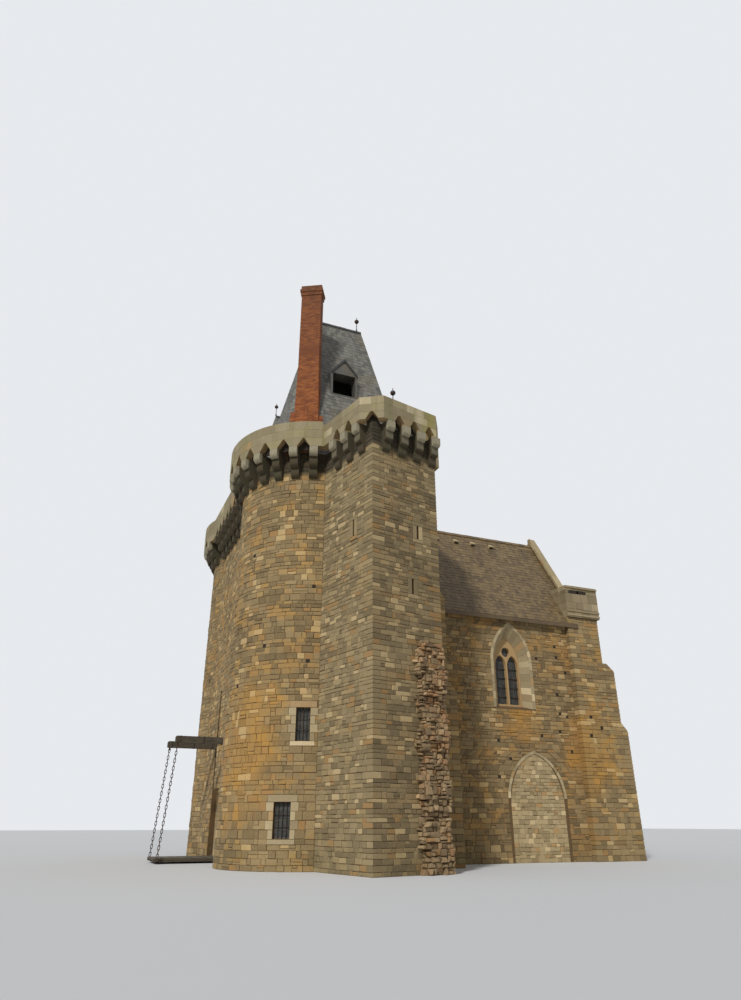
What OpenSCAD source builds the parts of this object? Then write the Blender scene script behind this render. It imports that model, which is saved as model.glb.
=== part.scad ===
// Castle keep: a gatehouse with two round-fronted towers, a square stair turret,
// a drawbridge on two lifting arms, and a gabled chapel behind.
// All lengths are in millimetres. +Z is up, the drawbridge faces -X, the chapel runs towards +X.

/* [Towers] */
// Outer radius of each tower's round front
tower_r = 3500; // [3300:50:3700]
// Distance between the two tower axes, across the gate
tower_span = 10910; // [10600:10:11200]
// How far the far tower stands back from the near one
far_set_back = 720; // [400:10:1000]
// Length of the square back of each tower, from the axis to the back wall's outer face
tower_back = 4200; // [4000:50:4500]
// Thickness of the tower walls
wall_t = 950; // [800:50:1050]
// Height of the wall walk, where the walls end and the parapet starts
walk_z = 17400; // [16800:50:18000]
// Thickness of the stone and timber floors
floor_t = 250; // [180:10:300]
// Height of the ground floor's paving
paving_z = 230; // [200:5:240]
// Height of the first floor's top
first_floor_z = 3700; // [3620:10:3760]
// Height of the upper floor's top
upper_floor_z = 13100; // [12800:50:13300]

/* [Parapet] */
// How far the parapet's outer face stands out from the walls
overhang = 780; // [700:10:860]
// Thickness of the parapet
parapet_t = 380; // [300:10:420]
// Height of the parapet above the wall walk
parapet_h = 1300; // [1200:10:1500]
// Width of one corbel
corbel_w = 380; // [320:10:420]
// Height of one of a corbel's three steps
corbel_step_h = 440; // [400:10:480]
// Spacing of the corbels along the wall
corbel_pitch = 950; // [900:10:1000]
// Height of the small pointed arches between the corbels
notch_h = 430; // [300:10:500]

/* [Stair turret] */
// Width of the turret's front
turret_w = 3400; // [3200:50:3600]
// Length of the turret's left side, from its front corner to the tower
turret_side = 3750; // [3740:10:3800]
// Turn of the turret against the gatehouse
turret_turn = 12.9; // [12:0.1:14]
// Distance of the turret's front corner east of the near tower's axis
turret_corner_x = 280; // [200:10:360]
// Distance of the turret's front corner south of the near tower's axis
turret_corner_y = 7100; // [7000:10:7200]
// Thickness of the turret's walls
turret_wall_t = 700; // [600:10:800]
// How far the turret's parapet stands out from its walls
turret_overhang = 520; // [460:10:560]
// Height of the turret's parapet above the wall walk
turret_parapet_h = 1120; // [1000:10:1200]
// Length cut off each corner of the turret's parapet
turret_cant = 750; // [650:10:800]
// Distance of the turret's first corbels from its corner
turret_corbel_in = 660; // [620:10:700]

/* [Tower roofs] */
// Height of the ridges above the wall walk
roof_h = 10550; // [10000:50:11000]
// Half the width of a roof at its foot
roof_half_w = 3300; // [3200:10:3350]
// West end of a roof at its foot, from the tower's axis
roof_west = 2750; // [2600:10:2900]
// East end of a roof at its foot, from the tower's axis
roof_east = 3850; // [3700:10:4000]
// West end of the ridge, from the tower's axis
ridge_west = 320; // [200:10:500]
// East end of the ridge, from the tower's axis
ridge_east = 2500; // [2300:10:2700]
// Distance of the east finials from the ridge's east end
finial_in = 250; // [150:10:400]
// Distance of the cut corners from the tower's axis at the foot
roof_corner_r = 3450; // [3350:10:3480]
// Thickness of slates and boards, measured level
roof_shell_t = 300; // [200:10:350]
// Height of the turret roof's ridge above the wall walk
turret_roof_h = 2550; // [2300:50:2700]
// Length of the turret roof's ridge
turret_ridge = 1500; // [1000:50:1600]
// Radius of the balls on the ridge ends
ball_r = 130; // [100:5:150]
// Height of a ball's middle above the ridge
ball_up = 680; // [500:10:750]

/* [Dormers] */
// Distance of a dormer's middle east of the tower's axis
dormer_x = 850; // [750:10:1050]
// Width of a dormer
dormer_w = 1500; // [1300:10:1600]
// Height of a dormer's sill above the wall walk
dormer_sill = 4500; // [4300:50:4700]
// Height of a dormer's cheeks
dormer_wall_h = 1400; // [1200:10:1600]
// Height of a dormer's gable above the cheeks
dormer_gable_h = 900; // [800:10:1200]

/* [Chimney] */
// Distance of the stack's outer face from the near tower's axis
chimney_out = 2650; // [2600:10:2700]
// Direction of the stack from the tower's axis
chimney_turn = -119; // [-122:0.5:-116]
// Width of the stack
chimney_w = 1060; // [1000:10:1150]
// Depth of the stack
chimney_d = 620; // [550:10:700]
// Height of the chimney above the wall walk
chimney_h = 10900; // [10500:50:11200]
// Width of the stack's foot
chimney_foot_w = 1340; // [1280:10:1400]
// Height at which the foot has narrowed to the stack
chimney_foot_h = 5600; // [5000:50:6000]
// Height of the cap
chimney_cap_h = 640; // [500:10:800]
// Wall of the flue
flue_wall = 150; // [120:5:180]

/* [Gate] */
// Distance of the gate wall's face west of the near tower's axis
gate_face = 2540; // [2450:10:2650]
// Thickness of the gate wall
gate_t = 1050; // [1000:10:1150]
// Width of the gate
gate_w = 2000; // [1900:10:2060]
// Height at which the gate's arch springs
gate_spring_z = 1900; // [1800:10:1950]
// Depth of the recess that takes the raised deck
recess_d = 250; // [240:5:270]
// Half the width of that recess
recess_half_w = 1460; // [1450:5:1480]

/* [Drawbridge] */
// Distance from the deck's hinge to the chains, and from the arms' pivot to the chains
lift_reach = 2810; // [2750:10:2850]
// Height of the deck's hinge
hinge_z = 160; // [150:5:170]
// Distance of the deck's hinge behind the gate wall's face
hinge_in = 120; // [115:1:130]
// Distance of the arms' pivot behind the deck's hinge
chain_lean = 360; // [340:5:370]
// Height of the arms' pivot
arm_z = 4970; // [4920:10:5000]
// Height of an arm's middle above its pivot and the chain's pin
arm_up = 230; // [220:5:240]
// Distance of each arm from the gate's middle
arm_y = 1300; // [1290:2:1310]
// Width of an arm
arm_w = 260; // [240:10:280]
// Depth of an arm
arm_d = 300; // [280:10:310]
// Length of an arm past the chain
arm_nose = 120; // [100:5:130]
// Length of an arm's tail behind its pivot
arm_tail = 1250; // [1150:10:1260]
// Width of the slots that take the raised arms
slot_w = 400; // [390:10:420]
// Width of the deck
deck_w = 2160; // [2100:10:2200]
// Thickness of the deck's planks
deck_t = 70; // [60:5:80]
// Radius of the deck's heel beam
heel_r = 90; // [85:1:95]
// Width of one chain link
link_w = 110; // [100:5:120]
// Thickness of a chain link's bar
link_bar = 28; // [24:1:30]
// Radius of the pins that carry the deck and the arms
trunnion_r = 42; // [36:1:48]
// Radius of the chains' pins
pin_r = 24; // [20:0.5:24]
// Running clearance round a pin
pin_gap = 0.5; // [0.3:0.1:0.9]

/* [Chapel] */
// Distance of the chapel's ridge north of the near tower's axis
chapel_axis = 2130; // [2000:10:2300]
// Half the width of the chapel over its walls
chapel_half_w = 3200; // [3100:10:3300]
// East end of the chapel, from the near tower's axis
chapel_east = 14900; // [14500:50:15300]
// Thickness of the chapel's walls
chapel_wall_t = 900; // [800:10:950]
// Height of the ridge
chapel_ridge_z = 17000; // [16800:50:17200]
// Fall of the roof for each metre of width, in millimetres
roof_fall = 1620; // [1580:1:1660]
// Overhang of the eaves
eaves = 340; // [250:10:400]
// Thickness of the chapel's roof, measured upright
chapel_roof_t = 200; // [160:10:240]
// Thickness of the gable wall
gable_t = 940; // [880:10:1000]
// Height of the gable above the roof
gable_up = 180; // [120:10:240]
// Thickness of the gable where it stands above the roof
gable_top_t = 340; // [300:10:400]
// Thickness of the gable's coping
coping_t = 140; // [110:10:180]
// How far the coping stands out over the gable's faces
coping_out = 30; // [20:5:50]

/* [Chapel window] */
// Distance of the window's middle east of the near tower's axis
window_x = 10375; // [10300:5:10500]
// Height of the sill
window_sill_z = 6900; // [6800:10:7000]
// Width of the splayed opening in the wall's face
window_w = 2100; // [2000:10:2200]
// Width of the lights' frame
light_w = 1500; // [1400:10:1600]
// Height of the sides below the pointed head
light_h = 2150; // [2000:10:2250]
// Depth of the splay in front of the frame
splay_d = 450; // [400:10:500]
// Depth of the stone frame
tracery_d = 180; // [150:10:200]
// Distance of the walled-up arch east of the near tower's axis
arch_x = 11240; // [11100:10:11400]
// Width of the walled-up arch
arch_w = 3000; // [2800:10:3200]
// Height at which the walled-up arch springs
arch_spring_z = 2300; // [2100:10:2500]
// Depth of the walled-up arch
arch_in = 90; // [60:5:120]

/* [Piers] */
// Width of the chapel's corner piers
pier_w = 1600; // [1500:10:1700]
// Length of a pier's top
pier_top = 2040; // [1940:10:2140]
// Length of a pier's foot
pier_foot = 2840; // [2740:10:2940]
// Height of a pier
pier_h = 13400; // [13200:50:13600]
// How far a pier stands out sideways from the chapel's wall
pier_out = 380; // [340:10:420]
// Height at which a pier's foot starts to narrow, and how much it narrows there
pier_ledge_z = 5900; // [5700:50:6100]
// Width of a pier's lower ledge
pier_ledge = 350; // [250:10:400]
// Height at which a pier's shaft starts
pier_shaft_z = 9300; // [9100:50:9500]
// Height of the block on top of a pier
pier_cap_h = 1750; // [1600:10:1900]
// How far that block stands out over the pier
pier_cap_out = 120; // [80:5:160]
// Length of the gatehouse's corner buttress at its top
buttress_top = 1150; // [1050:10:1250]
// Length of the gatehouse's corner buttress at its foot
buttress_foot = 1550; // [1450:10:1650]
// Width of that buttress
buttress_w = 1200; // [1100:10:1300]
// Height of that buttress against the wall
buttress_h = 12600; // [12400:50:12800]
// Height of the stub of the fallen wall on the turret
stub_h = 8000; // [7600:50:8400]
// Thickness of the fallen wall
stub_w = 1300; // [1200:10:1400]

/* [Hidden] */

$fn = 96;
stone = [0.66, 0.59, 0.47];
pale_stone = [0.74, 0.68, 0.56];
slate = [0.45, 0.47, 0.48];
brown_slate = [0.42, 0.37, 0.32];
brick = [0.66, 0.36, 0.22];
timber = [0.42, 0.38, 0.34];
iron = [0.25, 0.25, 0.26];
big = 40000;

far_x = far_set_back;
far_y = tower_span;
gate_y = tower_span / 2;
gate_x = -gate_face;
// Line left open where two pieces meet flat, and where a wall meets a round tower
bed = 0.5;
round_bed = 8;
corbel_h = 3 * corbel_step_h;
hinge_x = gate_x + hinge_in;
pivot_x = hinge_x + chain_lean;
deck_end = lift_reach + 120;
recess_top = hinge_z + deck_end + 80;
arm_top = arm_up + arm_d / 2;
// Radii that the arms' ends sweep about their pivot
nose_sweep = sqrt(pow(lift_reach + arm_nose, 2) + arm_top * arm_top);
tail_sweep = sqrt(arm_tail * arm_tail + arm_top * arm_top);
// Foot and top of the slots that the raised arms stand in
slot_foot = arm_z - tail_sweep - 40;
slot_top = arm_z + nose_sweep + 40;
gable_x = chapel_east - gable_t;
pier_x = gable_x;
// West face of the gable above the roof
gable_top_x = chapel_east - gable_top_t;
chapel_south = chapel_axis - chapel_half_w;
chapel_north = chapel_axis + chapel_half_w;
chapel_west = tower_back;
turret_x = turret_corner_x;
turret_y = -turret_corner_y;

// Middle of the footprint: the drawbridge's end to the piers' feet, the turret's corner to the far tower
mid_x = (hinge_x - deck_end + pier_x + pier_foot) / 2;
rim_south = (turret_cant - turret_overhang) * sin(turret_turn) - turret_overhang * cos(turret_turn);
mid_y = (turret_y + rim_south + far_y + tower_r + overhang) / 2;

// Rise of a pointed arch of two arcs whose radius equals its width
function point_rise(w) = w * sqrt(3) / 2;
// Height of the chapel roof's top at a distance from its ridge
function chapel_top(y) = chapel_ridge_z - abs(y - chapel_axis) * roof_fall / 1000;

module placed() {
    translate([-mid_x, -mid_y, 0]) children();
}

module pointed_arch(w, spring, foot = 0) {
    translate([-w / 2, foot]) square([w, spring - foot]);
    translate([0, spring]) intersection() {
        translate([-w / 2, 0]) circle(w);
        translate([w / 2, 0]) circle(w);
        translate([-w, 0]) square([2 * w, 2 * w]);
    }
}

// Hole through a wall that lies along +X, narrow outside at y = 0 and wide inside at y = t
module embrasure(w, h, t, widen = 220) {
    linear_extrude(h) polygon([[-w / 2, -50], [w / 2, -50], [w / 2, 150], [w / 2 + widen, t + 50],
        [-w / 2 - widen, t + 50], [-w / 2, 150]]);
}

module round_embrasure(angle, z, w, h, widen = 220) {
    rotate(angle + 90) translate([0, -tower_r, z]) embrasure(w, h, wall_t, widen);
}

module round_wall(from) {
    rotate(from) rotate_extrude(angle = 90) translate([tower_r - wall_t, 0]) square([wall_t, walk_z]);
}

// Footprint of one tower grown by d: round to the west, square to the east
module tower_plan(d) {
    circle(tower_r + d);
    translate([0, -tower_r - d]) square([tower_back + d, 2 * (tower_r + d)]);
}

module turret_frame() {
    translate([turret_x, turret_y]) rotate(turret_turn) children();
}

module turret_plan(d) {
    turret_frame() translate([-d, -d]) square([turret_w + 2 * d, turret_side + d]);
}

module keep_plan(d) {
    circle(tower_r + d, $fn = 240);
    translate([far_x, far_y]) circle(tower_r + d, $fn = 240);
    translate([0, -tower_r - d]) square([tower_back + d, far_y + tower_r + d]);
    translate([far_x, far_y - tower_r]) square([tower_back - far_x + d, 2 * tower_r + d]);
    translate([gate_x - d, 0]) square([gate_face + d, far_y]);
}

// Outline of the turret grown by d, with its outer corners canted
module turret_rim(d, cant) {
    turret_frame() polygon([[-d, turret_side], [-d, cant - d], [cant - d, -d], [turret_w + d - cant, -d],
        [turret_w + d, cant - d], [turret_w + d, turret_side]]);
}

module keep_ring() {
    difference() {
        union() {
            keep_plan(overhang);
            turret_rim(turret_overhang, turret_cant);
        }
        keep_plan(overhang - parapet_t);
        turret_rim(turret_overhang - parapet_t, turret_cant - parapet_t * (2 - sqrt(2)));
    }
}

// The towers' rounds with their beds, each turned so that a corner of its outline falls on the gate's face
module towers_cut() {
    cut_r = tower_r + round_bed;
    translate([0, 0, -1]) rotate(180 - acos(gate_face / cut_r)) cylinder(r = cut_r, h = walk_z + 2, $fn = 240);
    translate([far_x, far_y, -1]) rotate(180 + acos((gate_face + far_x) / cut_r))
        cylinder(r = cut_r, h = walk_z + 2, $fn = 240);
}

module near_tower_round_south() color(stone) placed() difference() {
    round_wall(180);
    round_embrasure(-109, 4560, 560, 1280);
    round_embrasure(-120, 1080, 650, 1280);
}

module near_tower_round_north() color(stone) placed() difference() {
    round_wall(90);
    round_embrasure(-174, 14000, 120, 620, 180);
}

module side_wall(y, x0, x1) {
    translate([x0, y, 0]) cube([x1 - x0, wall_t, walk_z]);
}

module near_tower_side_walls() color(stone) placed() {
    side_wall(-tower_r, 0, tower_back - wall_t);
    side_wall(tower_r - wall_t, 0, tower_back - wall_t);
}

module far_tower_round_south() color(stone) placed() translate([far_x, far_y]) difference() {
    round_wall(180);
    round_embrasure(-150, 4560, 560, 1280);
}

module far_tower_round_north() color(stone) placed() translate([far_x, far_y]) difference() {
    round_wall(90);
    round_embrasure(150, 4560, 560, 1280);
    round_embrasure(174, 14000, 120, 620, 180);
}

module far_tower_side_walls() color(stone) placed() {
    side_wall(far_y - tower_r, far_x, tower_back - wall_t);
    side_wall(far_y + tower_r - wall_t, far_x, tower_back - wall_t);
}

module back_wall() color(stone) placed() difference() {
    translate([tower_back - wall_t, -tower_r, 0]) cube([wall_t, far_y + 2 * tower_r, walk_z]);
    for (y = [gate_y + 1500, far_y])
        translate([tower_back, y, 4560]) rotate(90) embrasure(560, 1280, wall_t);
}

module gate_block(z0, z1) {
    difference() {
        translate([gate_x, 0, z0]) cube([gate_t, far_y, z1 - z0]);
        towers_cut();
    }
}

module gate_recess(up = 0) {
    translate([gate_x - 1, gate_y - recess_half_w, -1])
        cube([recess_d + 1, 2 * recess_half_w, recess_top + 1 + up]);
}

// Upright slots of a given depth for the arms or their chains, from one height to another
module arm_slots(depth, z0, z1) {
    for (side = [-1, 1]) translate([gate_x - 1, gate_y + side * arm_y - slot_w / 2, z0])
        cube([depth + 1, slot_w, z1 - z0]);
}

module gate_jambs() color(stone) placed() difference() {
    gate_block(0, recess_top);
    translate([gate_x - 1, gate_y - gate_w / 2, -1]) cube([gate_t + 2, gate_w, recess_top + 2]);
    gate_recess(1);
    for (side = [-1, 1])
        translate([hinge_x, gate_y + side * (recess_half_w + 50), hinge_z])
            rotate([90, 0, 0]) cylinder(r = trunnion_r + pin_gap, h = 202, center = true);
}

module gate_arch() color(stone) placed() difference() {
    union() {
        gate_block(recess_top, slot_foot);
        translate([gate_x, gate_y - gate_w / 2, gate_spring_z])
            cube([gate_t, gate_w, recess_top + 1 - gate_spring_z]);
    }
    translate([gate_x - 1, gate_y, gate_spring_z]) rotate([0, 90, 0]) cylinder(d = gate_w, h = gate_t + 2);
    gate_recess();
    arm_slots(recess_d, recess_top - 1, slot_foot + 1);
}

module gate_slot_walls() color(stone) placed() difference() {
    gate_block(slot_foot, slot_top);
    arm_slots(gate_t + 1, slot_foot - 1, slot_top + 1);
    for (side = [-1, 1]) translate([pivot_x, gate_y + side * arm_y, arm_z]) rotate([90, 0, 0])
        cylinder(r = trunnion_r + pin_gap, h = slot_w + 200, center = true);
}

module gate_upper_wall() color(stone) placed() gate_block(slot_top, walk_z);

module turret_block() {
    difference() {
        linear_extrude(walk_z) turret_plan(0);
        translate([0, 0, -1]) linear_extrude(walk_z + 2) {
            circle(tower_r + round_bed, $fn = 240);
            translate([0, -tower_r]) square([tower_back, tower_r]);
        }
    }
}

module turret_slit(along, z, h) {
    turret_frame() translate([along, 0, z]) embrasure(110, h, turret_wall_t, 160);
}

module turret_front_wall() color(stone) placed() difference() {
    turret_frame() cube([turret_w, turret_wall_t, walk_z]);
    turret_slit(2000, 10000, 620);
    turret_slit(2330, 12450, 560);
}

module turret_side_walls() color(stone) placed() difference() {
    intersection() {
        turret_block();
        turret_frame() for (x = [0, turret_w - turret_wall_t])
            translate([x, turret_wall_t + bed, -1]) cube([turret_wall_t, big, walk_z + 2]);
    }
    turret_frame() translate([0, 1350, 12500]) rotate(-90) embrasure(110, 700, turret_wall_t, 160);
}

// Arch of one machicolation in the parapet's foot, looking out along +X
module notch(gap, reach) {
    translate([0, 0, walk_z]) rotate([90, 0, 90]) linear_extrude(reach)
        polygon([[-gap / 2, -1], [gap / 2, -1], [gap / 2, notch_h * 0.25], [0, notch_h], [-gap / 2, notch_h * 0.25]]);
}

// Middles between neighbouring places in a row
function mids(row) = [for (i = [1:len(row) - 1]) (row[i - 1] + row[i]) / 2];

module corbel_profile(out) {
    step = out / 3;
    for (i = [0:2]) {
        nose = min(step, corbel_step_h) * 0.9;
        translate([-80, -corbel_h + i * corbel_step_h]) {
            square([80 + (i + 1) * step - nose, corbel_step_h]);
            translate([0, nose]) square([80 + (i + 1) * step, corbel_step_h - nose]);
            translate([80 + (i + 1) * step - nose, nose]) circle(nose);
        }
    }
}

module corbel(out = overhang) {
    translate([0, corbel_w / 2, walk_z]) rotate([90, 0, 0]) linear_extrude(corbel_w) intersection() {
        corbel_profile(out);
        translate([-80, -corbel_h]) square([80 + out, corbel_h - bed]);
    }
}

// Turns of the corbels round a tower's front, from one turn to another
function turns(from, to) = let(n = round((to - from) / (corbel_pitch / (tower_r + overhang) * 180 / PI)))
    [for (i = [0:n - 1]) from + (i + 0.5) * (to - from) / n];
seam_x = turret_x - turret_side * sin(turret_turn);
seam_y = turret_y + turret_side * cos(turret_turn);
near_turns = turns(acos(-gate_face / tower_r) + 5, 360 + atan2(seam_y, seam_x) - 3);
far_turns = turns(93, 360 - acos(-(gate_face + far_x) / tower_r) - 5);
// Places in plan just past where the gate's parapet meets the towers' parapets
near_joint_y = 120 + sqrt(pow(tower_r + overhang, 2) - pow(gate_face + overhang, 2));
far_joint_y = far_y - 120 - sqrt(pow(tower_r + overhang, 2) - pow(gate_face + far_x + overhang, 2));
// Half the width of the back wall that the chapel's ridge covers at the corbels' height
chapel_clear = (chapel_ridge_z - walk_z + corbel_h) * 1000 / roof_fall + corbel_w / 2 + 20;

module round_corbels(x, y, turns) {
    difference() {
        for (a = turns) translate([x, y, 0]) rotate(a) translate([tower_r, 0, 0]) corbel();
        translate([x, y, -1]) cylinder(r = tower_r, h = walk_z + 2);
    }
}

module near_tower_corbels() color(pale_stone) placed() difference() {
    round_corbels(0, 0, near_turns);
    translate([0, 0, -1]) linear_extrude(walk_z + 2) turret_plan(0);
}

module far_tower_corbels() color(pale_stone) placed() round_corbels(far_x, far_y, far_turns);

// Places along a straight wall of a given length, an even pitch apart
function spots(length) = let(n = max(1, round(length / corbel_pitch)))
    [for (i = [0:n - 1]) (i + 0.5) * length / n];

// Places of the turret's corbels along its front and along its sides
turret_front_row = [for (i = [0:3])
    turret_corbel_in + i * (turret_w - turret_corbel_in - corbel_w / 2 - 10) / 3];
turret_side_row = [for (i = [0:2]) turret_corbel_in + i * (corbel_pitch - 30)];

module turret_corbel_row() {
    for (s = turret_front_row) turret_frame() translate([s, 0, 0]) rotate(-90) corbel(turret_overhang);
    for (s = turret_side_row) turret_frame() {
        translate([0, s, 0]) rotate(180) corbel(turret_overhang);
        translate([turret_w, s, 0]) corbel(turret_overhang);
    }
}

module turret_corbels() color(pale_stone) placed() intersection() {
    difference() {
        turret_corbel_row();
        translate([0, 0, -1]) linear_extrude(walk_z + 2) turret_plan(0);
        translate([0, 0, -1]) linear_extrude(walk_z + 2) tower_plan(0);
    }
    translate([-big / 2, -big / 2, 0]) cube([big, big, walk_z]);
}

// Places of the corbels along the back, the north side and the gate side
back_row = [for (s = spots(far_y + 2 * tower_r)) s - tower_r];
north_row = [for (s = spots(tower_back - far_x)) far_x + s];
gate_row = [for (s = spots(far_joint_y - near_joint_y)) near_joint_y + s];

module side_corbels() color(pale_stone) placed() difference() {
    union() {
        for (y = back_row) if (abs(y - chapel_axis) > chapel_clear) translate([tower_back, y, 0]) corbel();
        for (x = north_row) translate([x, far_y + tower_r, 0]) rotate(90) corbel();
        for (y = gate_row) translate([gate_x, y, 0]) rotate(180) corbel();
    }
    translate([0, 0, -1]) linear_extrude(walk_z + 2) keep_plan(0);
}

module parapet_ring() {
    translate([0, 0, walk_z]) linear_extrude(parapet_h) keep_ring();
}

module near_tower_parapet() color(stone) placed() difference() {
    intersection() {
        parapet_ring();
        near_part();
    }
    turret_part();
    for (turn = mids(near_turns)) rotate(turn) notch(corbel_pitch - corbel_w, big / 4);
}

// The parts of the plan in which the turret's and the towers' parapets lie
module turret_part() {
    reach = turret_overhang + 50;
    turret_frame() translate([-reach, -reach, walk_z - 1])
        cube([turret_w + 2 * reach, turret_side + reach, parapet_h + 2]);
}

module near_part() {
    translate([-big, -big, walk_z - 1]) cube([big, big + near_joint_y, parapet_h + 2]);
}

module far_part() {
    translate([-big, far_joint_y, walk_z - 1]) cube([big + far_x, big, parapet_h + 2]);
}

module far_tower_parapet() color(stone) placed() difference() {
    intersection() {
        parapet_ring();
        far_part();
    }
    translate([far_x, far_y, 0]) for (turn = mids(far_turns))
        rotate(turn) notch(corbel_pitch - corbel_w, big / 4);
}

module turret_parapet() color(stone) placed() difference() {
    intersection() {
        parapet_ring();
        turret_part();
        translate([-big / 2, -big / 2, 0]) cube([big, big, walk_z + turret_parapet_h]);
    }
    turret_frame() {
        for (x = mids(turret_front_row)) translate([x, turret_wall_t, 0]) rotate(-90) turret_notch();
        for (y = mids(turret_side_row)) {
            translate([turret_wall_t, y, 0]) rotate(180) turret_notch();
            translate([turret_w - turret_wall_t, y, 0]) turret_notch();
        }
        translate([turret_wall_t, turret_wall_t, 0]) rotate(-135) turret_notch();
    }
}

module turret_notch() {
    notch(turret_side_row[1] - turret_side_row[0] - corbel_w, turret_wall_t + 2 * turret_overhang);
}

module side_parapets() color(stone) placed() difference() {
    parapet_ring();
    near_part();
    far_part();
    turret_part();
    gap = corbel_pitch - corbel_w;
    for (y = mids(back_row)) if (abs(y - chapel_axis) > chapel_clear + corbel_pitch / 2)
        translate([tower_back - wall_t, y, 0]) notch(gap, wall_t + 2 * overhang);
    for (x = mids(north_row))
        translate([x, far_y + tower_r - wall_t, 0]) rotate(90) notch(gap, wall_t + 2 * overhang);
    for (y = mids(gate_row))
        translate([gate_x + wall_t, y, 0]) rotate(180) notch(gap, wall_t + 2 * overhang);
}

module roof_prism() {
    intersection() {
        rotate([90, 0, 90]) translate([0, 0, -big / 2]) linear_extrude(big)
            polygon([[-roof_half_w, 0], [roof_half_w, 0], [0, roof_h]]);
        rotate([90, 0, 0]) translate([0, 0, -big / 2]) linear_extrude(big)
            polygon([[-roof_west, 0], [roof_east, 0], [ridge_east, roof_h], [-ridge_west, roof_h]]);
        intersection_for (turn = [135, 225]) rotate(turn) rotate([90, 0, 0]) translate([0, 0, -big / 2]) linear_extrude(big)
            polygon([[-big, 0], [roof_corner_r, 0], [ridge_west * cos(45), roof_h], [-big, roof_h]]);
    }
}

module tower_roof() {
    drop = roof_shell_t * roof_h / roof_half_w;
    translate([0, 0, walk_z]) difference() {
        roof_prism();
        translate([0, 0, -drop]) roof_prism();
    }
}

module dormer_hole() {
    translate([dormer_x - dormer_w / 2 + 120, -roof_half_w, walk_z + dormer_sill + 120])
        cube([dormer_w - 240, roof_half_w - 300, dormer_wall_h - 120]);
}

module chimney_body() {
    rotate(chimney_turn) translate([chimney_out - chimney_d, 0, walk_z]) rotate([90, 0, 90])
        linear_extrude(chimney_d) polygon([[-chimney_foot_w / 2, 0], [chimney_foot_w / 2, 0],
            [chimney_w / 2, chimney_foot_h], [chimney_w / 2, chimney_h - chimney_cap_h],
            [-chimney_w / 2, chimney_h - chimney_cap_h], [-chimney_w / 2, chimney_foot_h]]);
}

module near_tower_roof() color(slate) placed() difference() {
    tower_roof();
    chimney_body();
    dormer_hole();
}

module far_tower_roof() color(slate) placed() translate([far_x, far_y]) mirror([0, 1, 0]) difference() {
    tower_roof();
    dormer_hole();
}

module turret_roof() color(slate) placed() {
    inset = 500;
    half = (turret_w - 2 * inset) / 2;
    turret_frame() translate([turret_w / 2, inset + half, walk_z + bed]) difference() {
        turret_roof_prism(half, turret_roof_h);
        translate([0, 0, -350]) turret_roof_prism(half, turret_roof_h);
    }
}

module turret_roof_prism(half, h) {
    intersection() {
        rotate([90, 0, 90]) translate([0, 0, -half]) linear_extrude(2 * half)
            polygon([[-half, 0], [half, 0], [0, h]]);
        rotate([90, 0, 0]) translate([0, 0, -half]) linear_extrude(2 * half)
            polygon([[-half, 0], [half, 0], [turret_ridge / 2, h], [-turret_ridge / 2, h]]);
    }
}

module finial() {
    rotate_extrude() polygon([[0, -60], [55, -60], [40, 60], [22, 120], [22, ball_up - ball_r * 0.95],
        [0, ball_up - ball_r * 0.95]]);
    translate([0, 0, ball_up]) sphere(ball_r);
    translate([0, 0, ball_up + ball_r * 0.9]) cylinder(r = 18, h = 160);
}

module roof_finials() color(iron) placed() {
    for (p = [[0, 0], [far_x, far_y]])
        for (x = [-ridge_west, ridge_east - finial_in])
            translate([p[0] + x, p[1], walk_z + roof_h + 60]) finial();
    turret_frame() translate([(turret_w + turret_ridge) / 2, turret_w / 2, walk_z + turret_roof_h + 60]) finial();
}

module dormer() {
    front = -roof_half_w * (1 - dormer_sill / roof_h);
    depth = roof_half_w * (dormer_wall_h + dormer_gable_h) / roof_h + 60;
    translate([dormer_x, front, walk_z + dormer_sill]) rotate([90, 0, 180])
        linear_extrude(depth) difference() {
            polygon([[-dormer_w / 2, 0], [dormer_w / 2, 0], [dormer_w / 2, dormer_wall_h],
                [0, dormer_wall_h + dormer_gable_h], [-dormer_w / 2, dormer_wall_h]]);
            translate([-dormer_w / 2 + 120, 120]) square([dormer_w - 240, dormer_wall_h - 120]);
        }
}

module roof_dormers() color(slate) placed() {
    for (side = [-1, 1])
        translate([side < 0 ? 0 : far_x, side < 0 ? 0 : far_y]) mirror([0, side < 0 ? 0 : 1, 0]) difference() {
            dormer();
            translate([0, 0, walk_z]) roof_prism();
        }
}

module chimney_stack() color(brick) placed() difference() {
    chimney_body();
    rotate(chimney_turn) translate([chimney_out - chimney_d + flue_wall, -chimney_w / 2 + flue_wall, walk_z + 400])
        cube([chimney_d - 2 * flue_wall, chimney_w - 2 * flue_wall, chimney_h]);
}

module chimney_cap() color(brick) placed() rotate(chimney_turn)
    translate([chimney_out - chimney_d, 0, walk_z + chimney_h - chimney_cap_h]) difference() {
        for (band = [[0, 0.34, 45], [0.34, 0.62, 85], [0.62, 1, 30]])
            translate([-band[2], -chimney_w / 2 - band[2], band[0] * chimney_cap_h])
                cube([chimney_d + 2 * band[2], chimney_w + 2 * band[2], (band[1] - band[0]) * chimney_cap_h]);
        translate([flue_wall, -chimney_w / 2 + flue_wall, -1])
            cube([chimney_d - 2 * flue_wall, chimney_w - 2 * flue_wall, chimney_h]);
    }

// Plan of the room in one tower
module tower_room() {
    intersection() {
        circle(tower_r - wall_t);
        translate([-big, -big]) square([big, 2 * big]);
    }
    translate([0, wall_t - tower_r]) square([tower_back - wall_t, 2 * (tower_r - wall_t)]);
}

module far_room() {
    translate([far_x, far_y]) intersection() {
        circle(tower_r - wall_t);
        translate([-big, -big]) square([big, 2 * big]);
    }
    translate([far_x, far_y + wall_t - tower_r]) square([tower_back - wall_t - far_x, 2 * (tower_r - wall_t)]);
}

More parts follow.
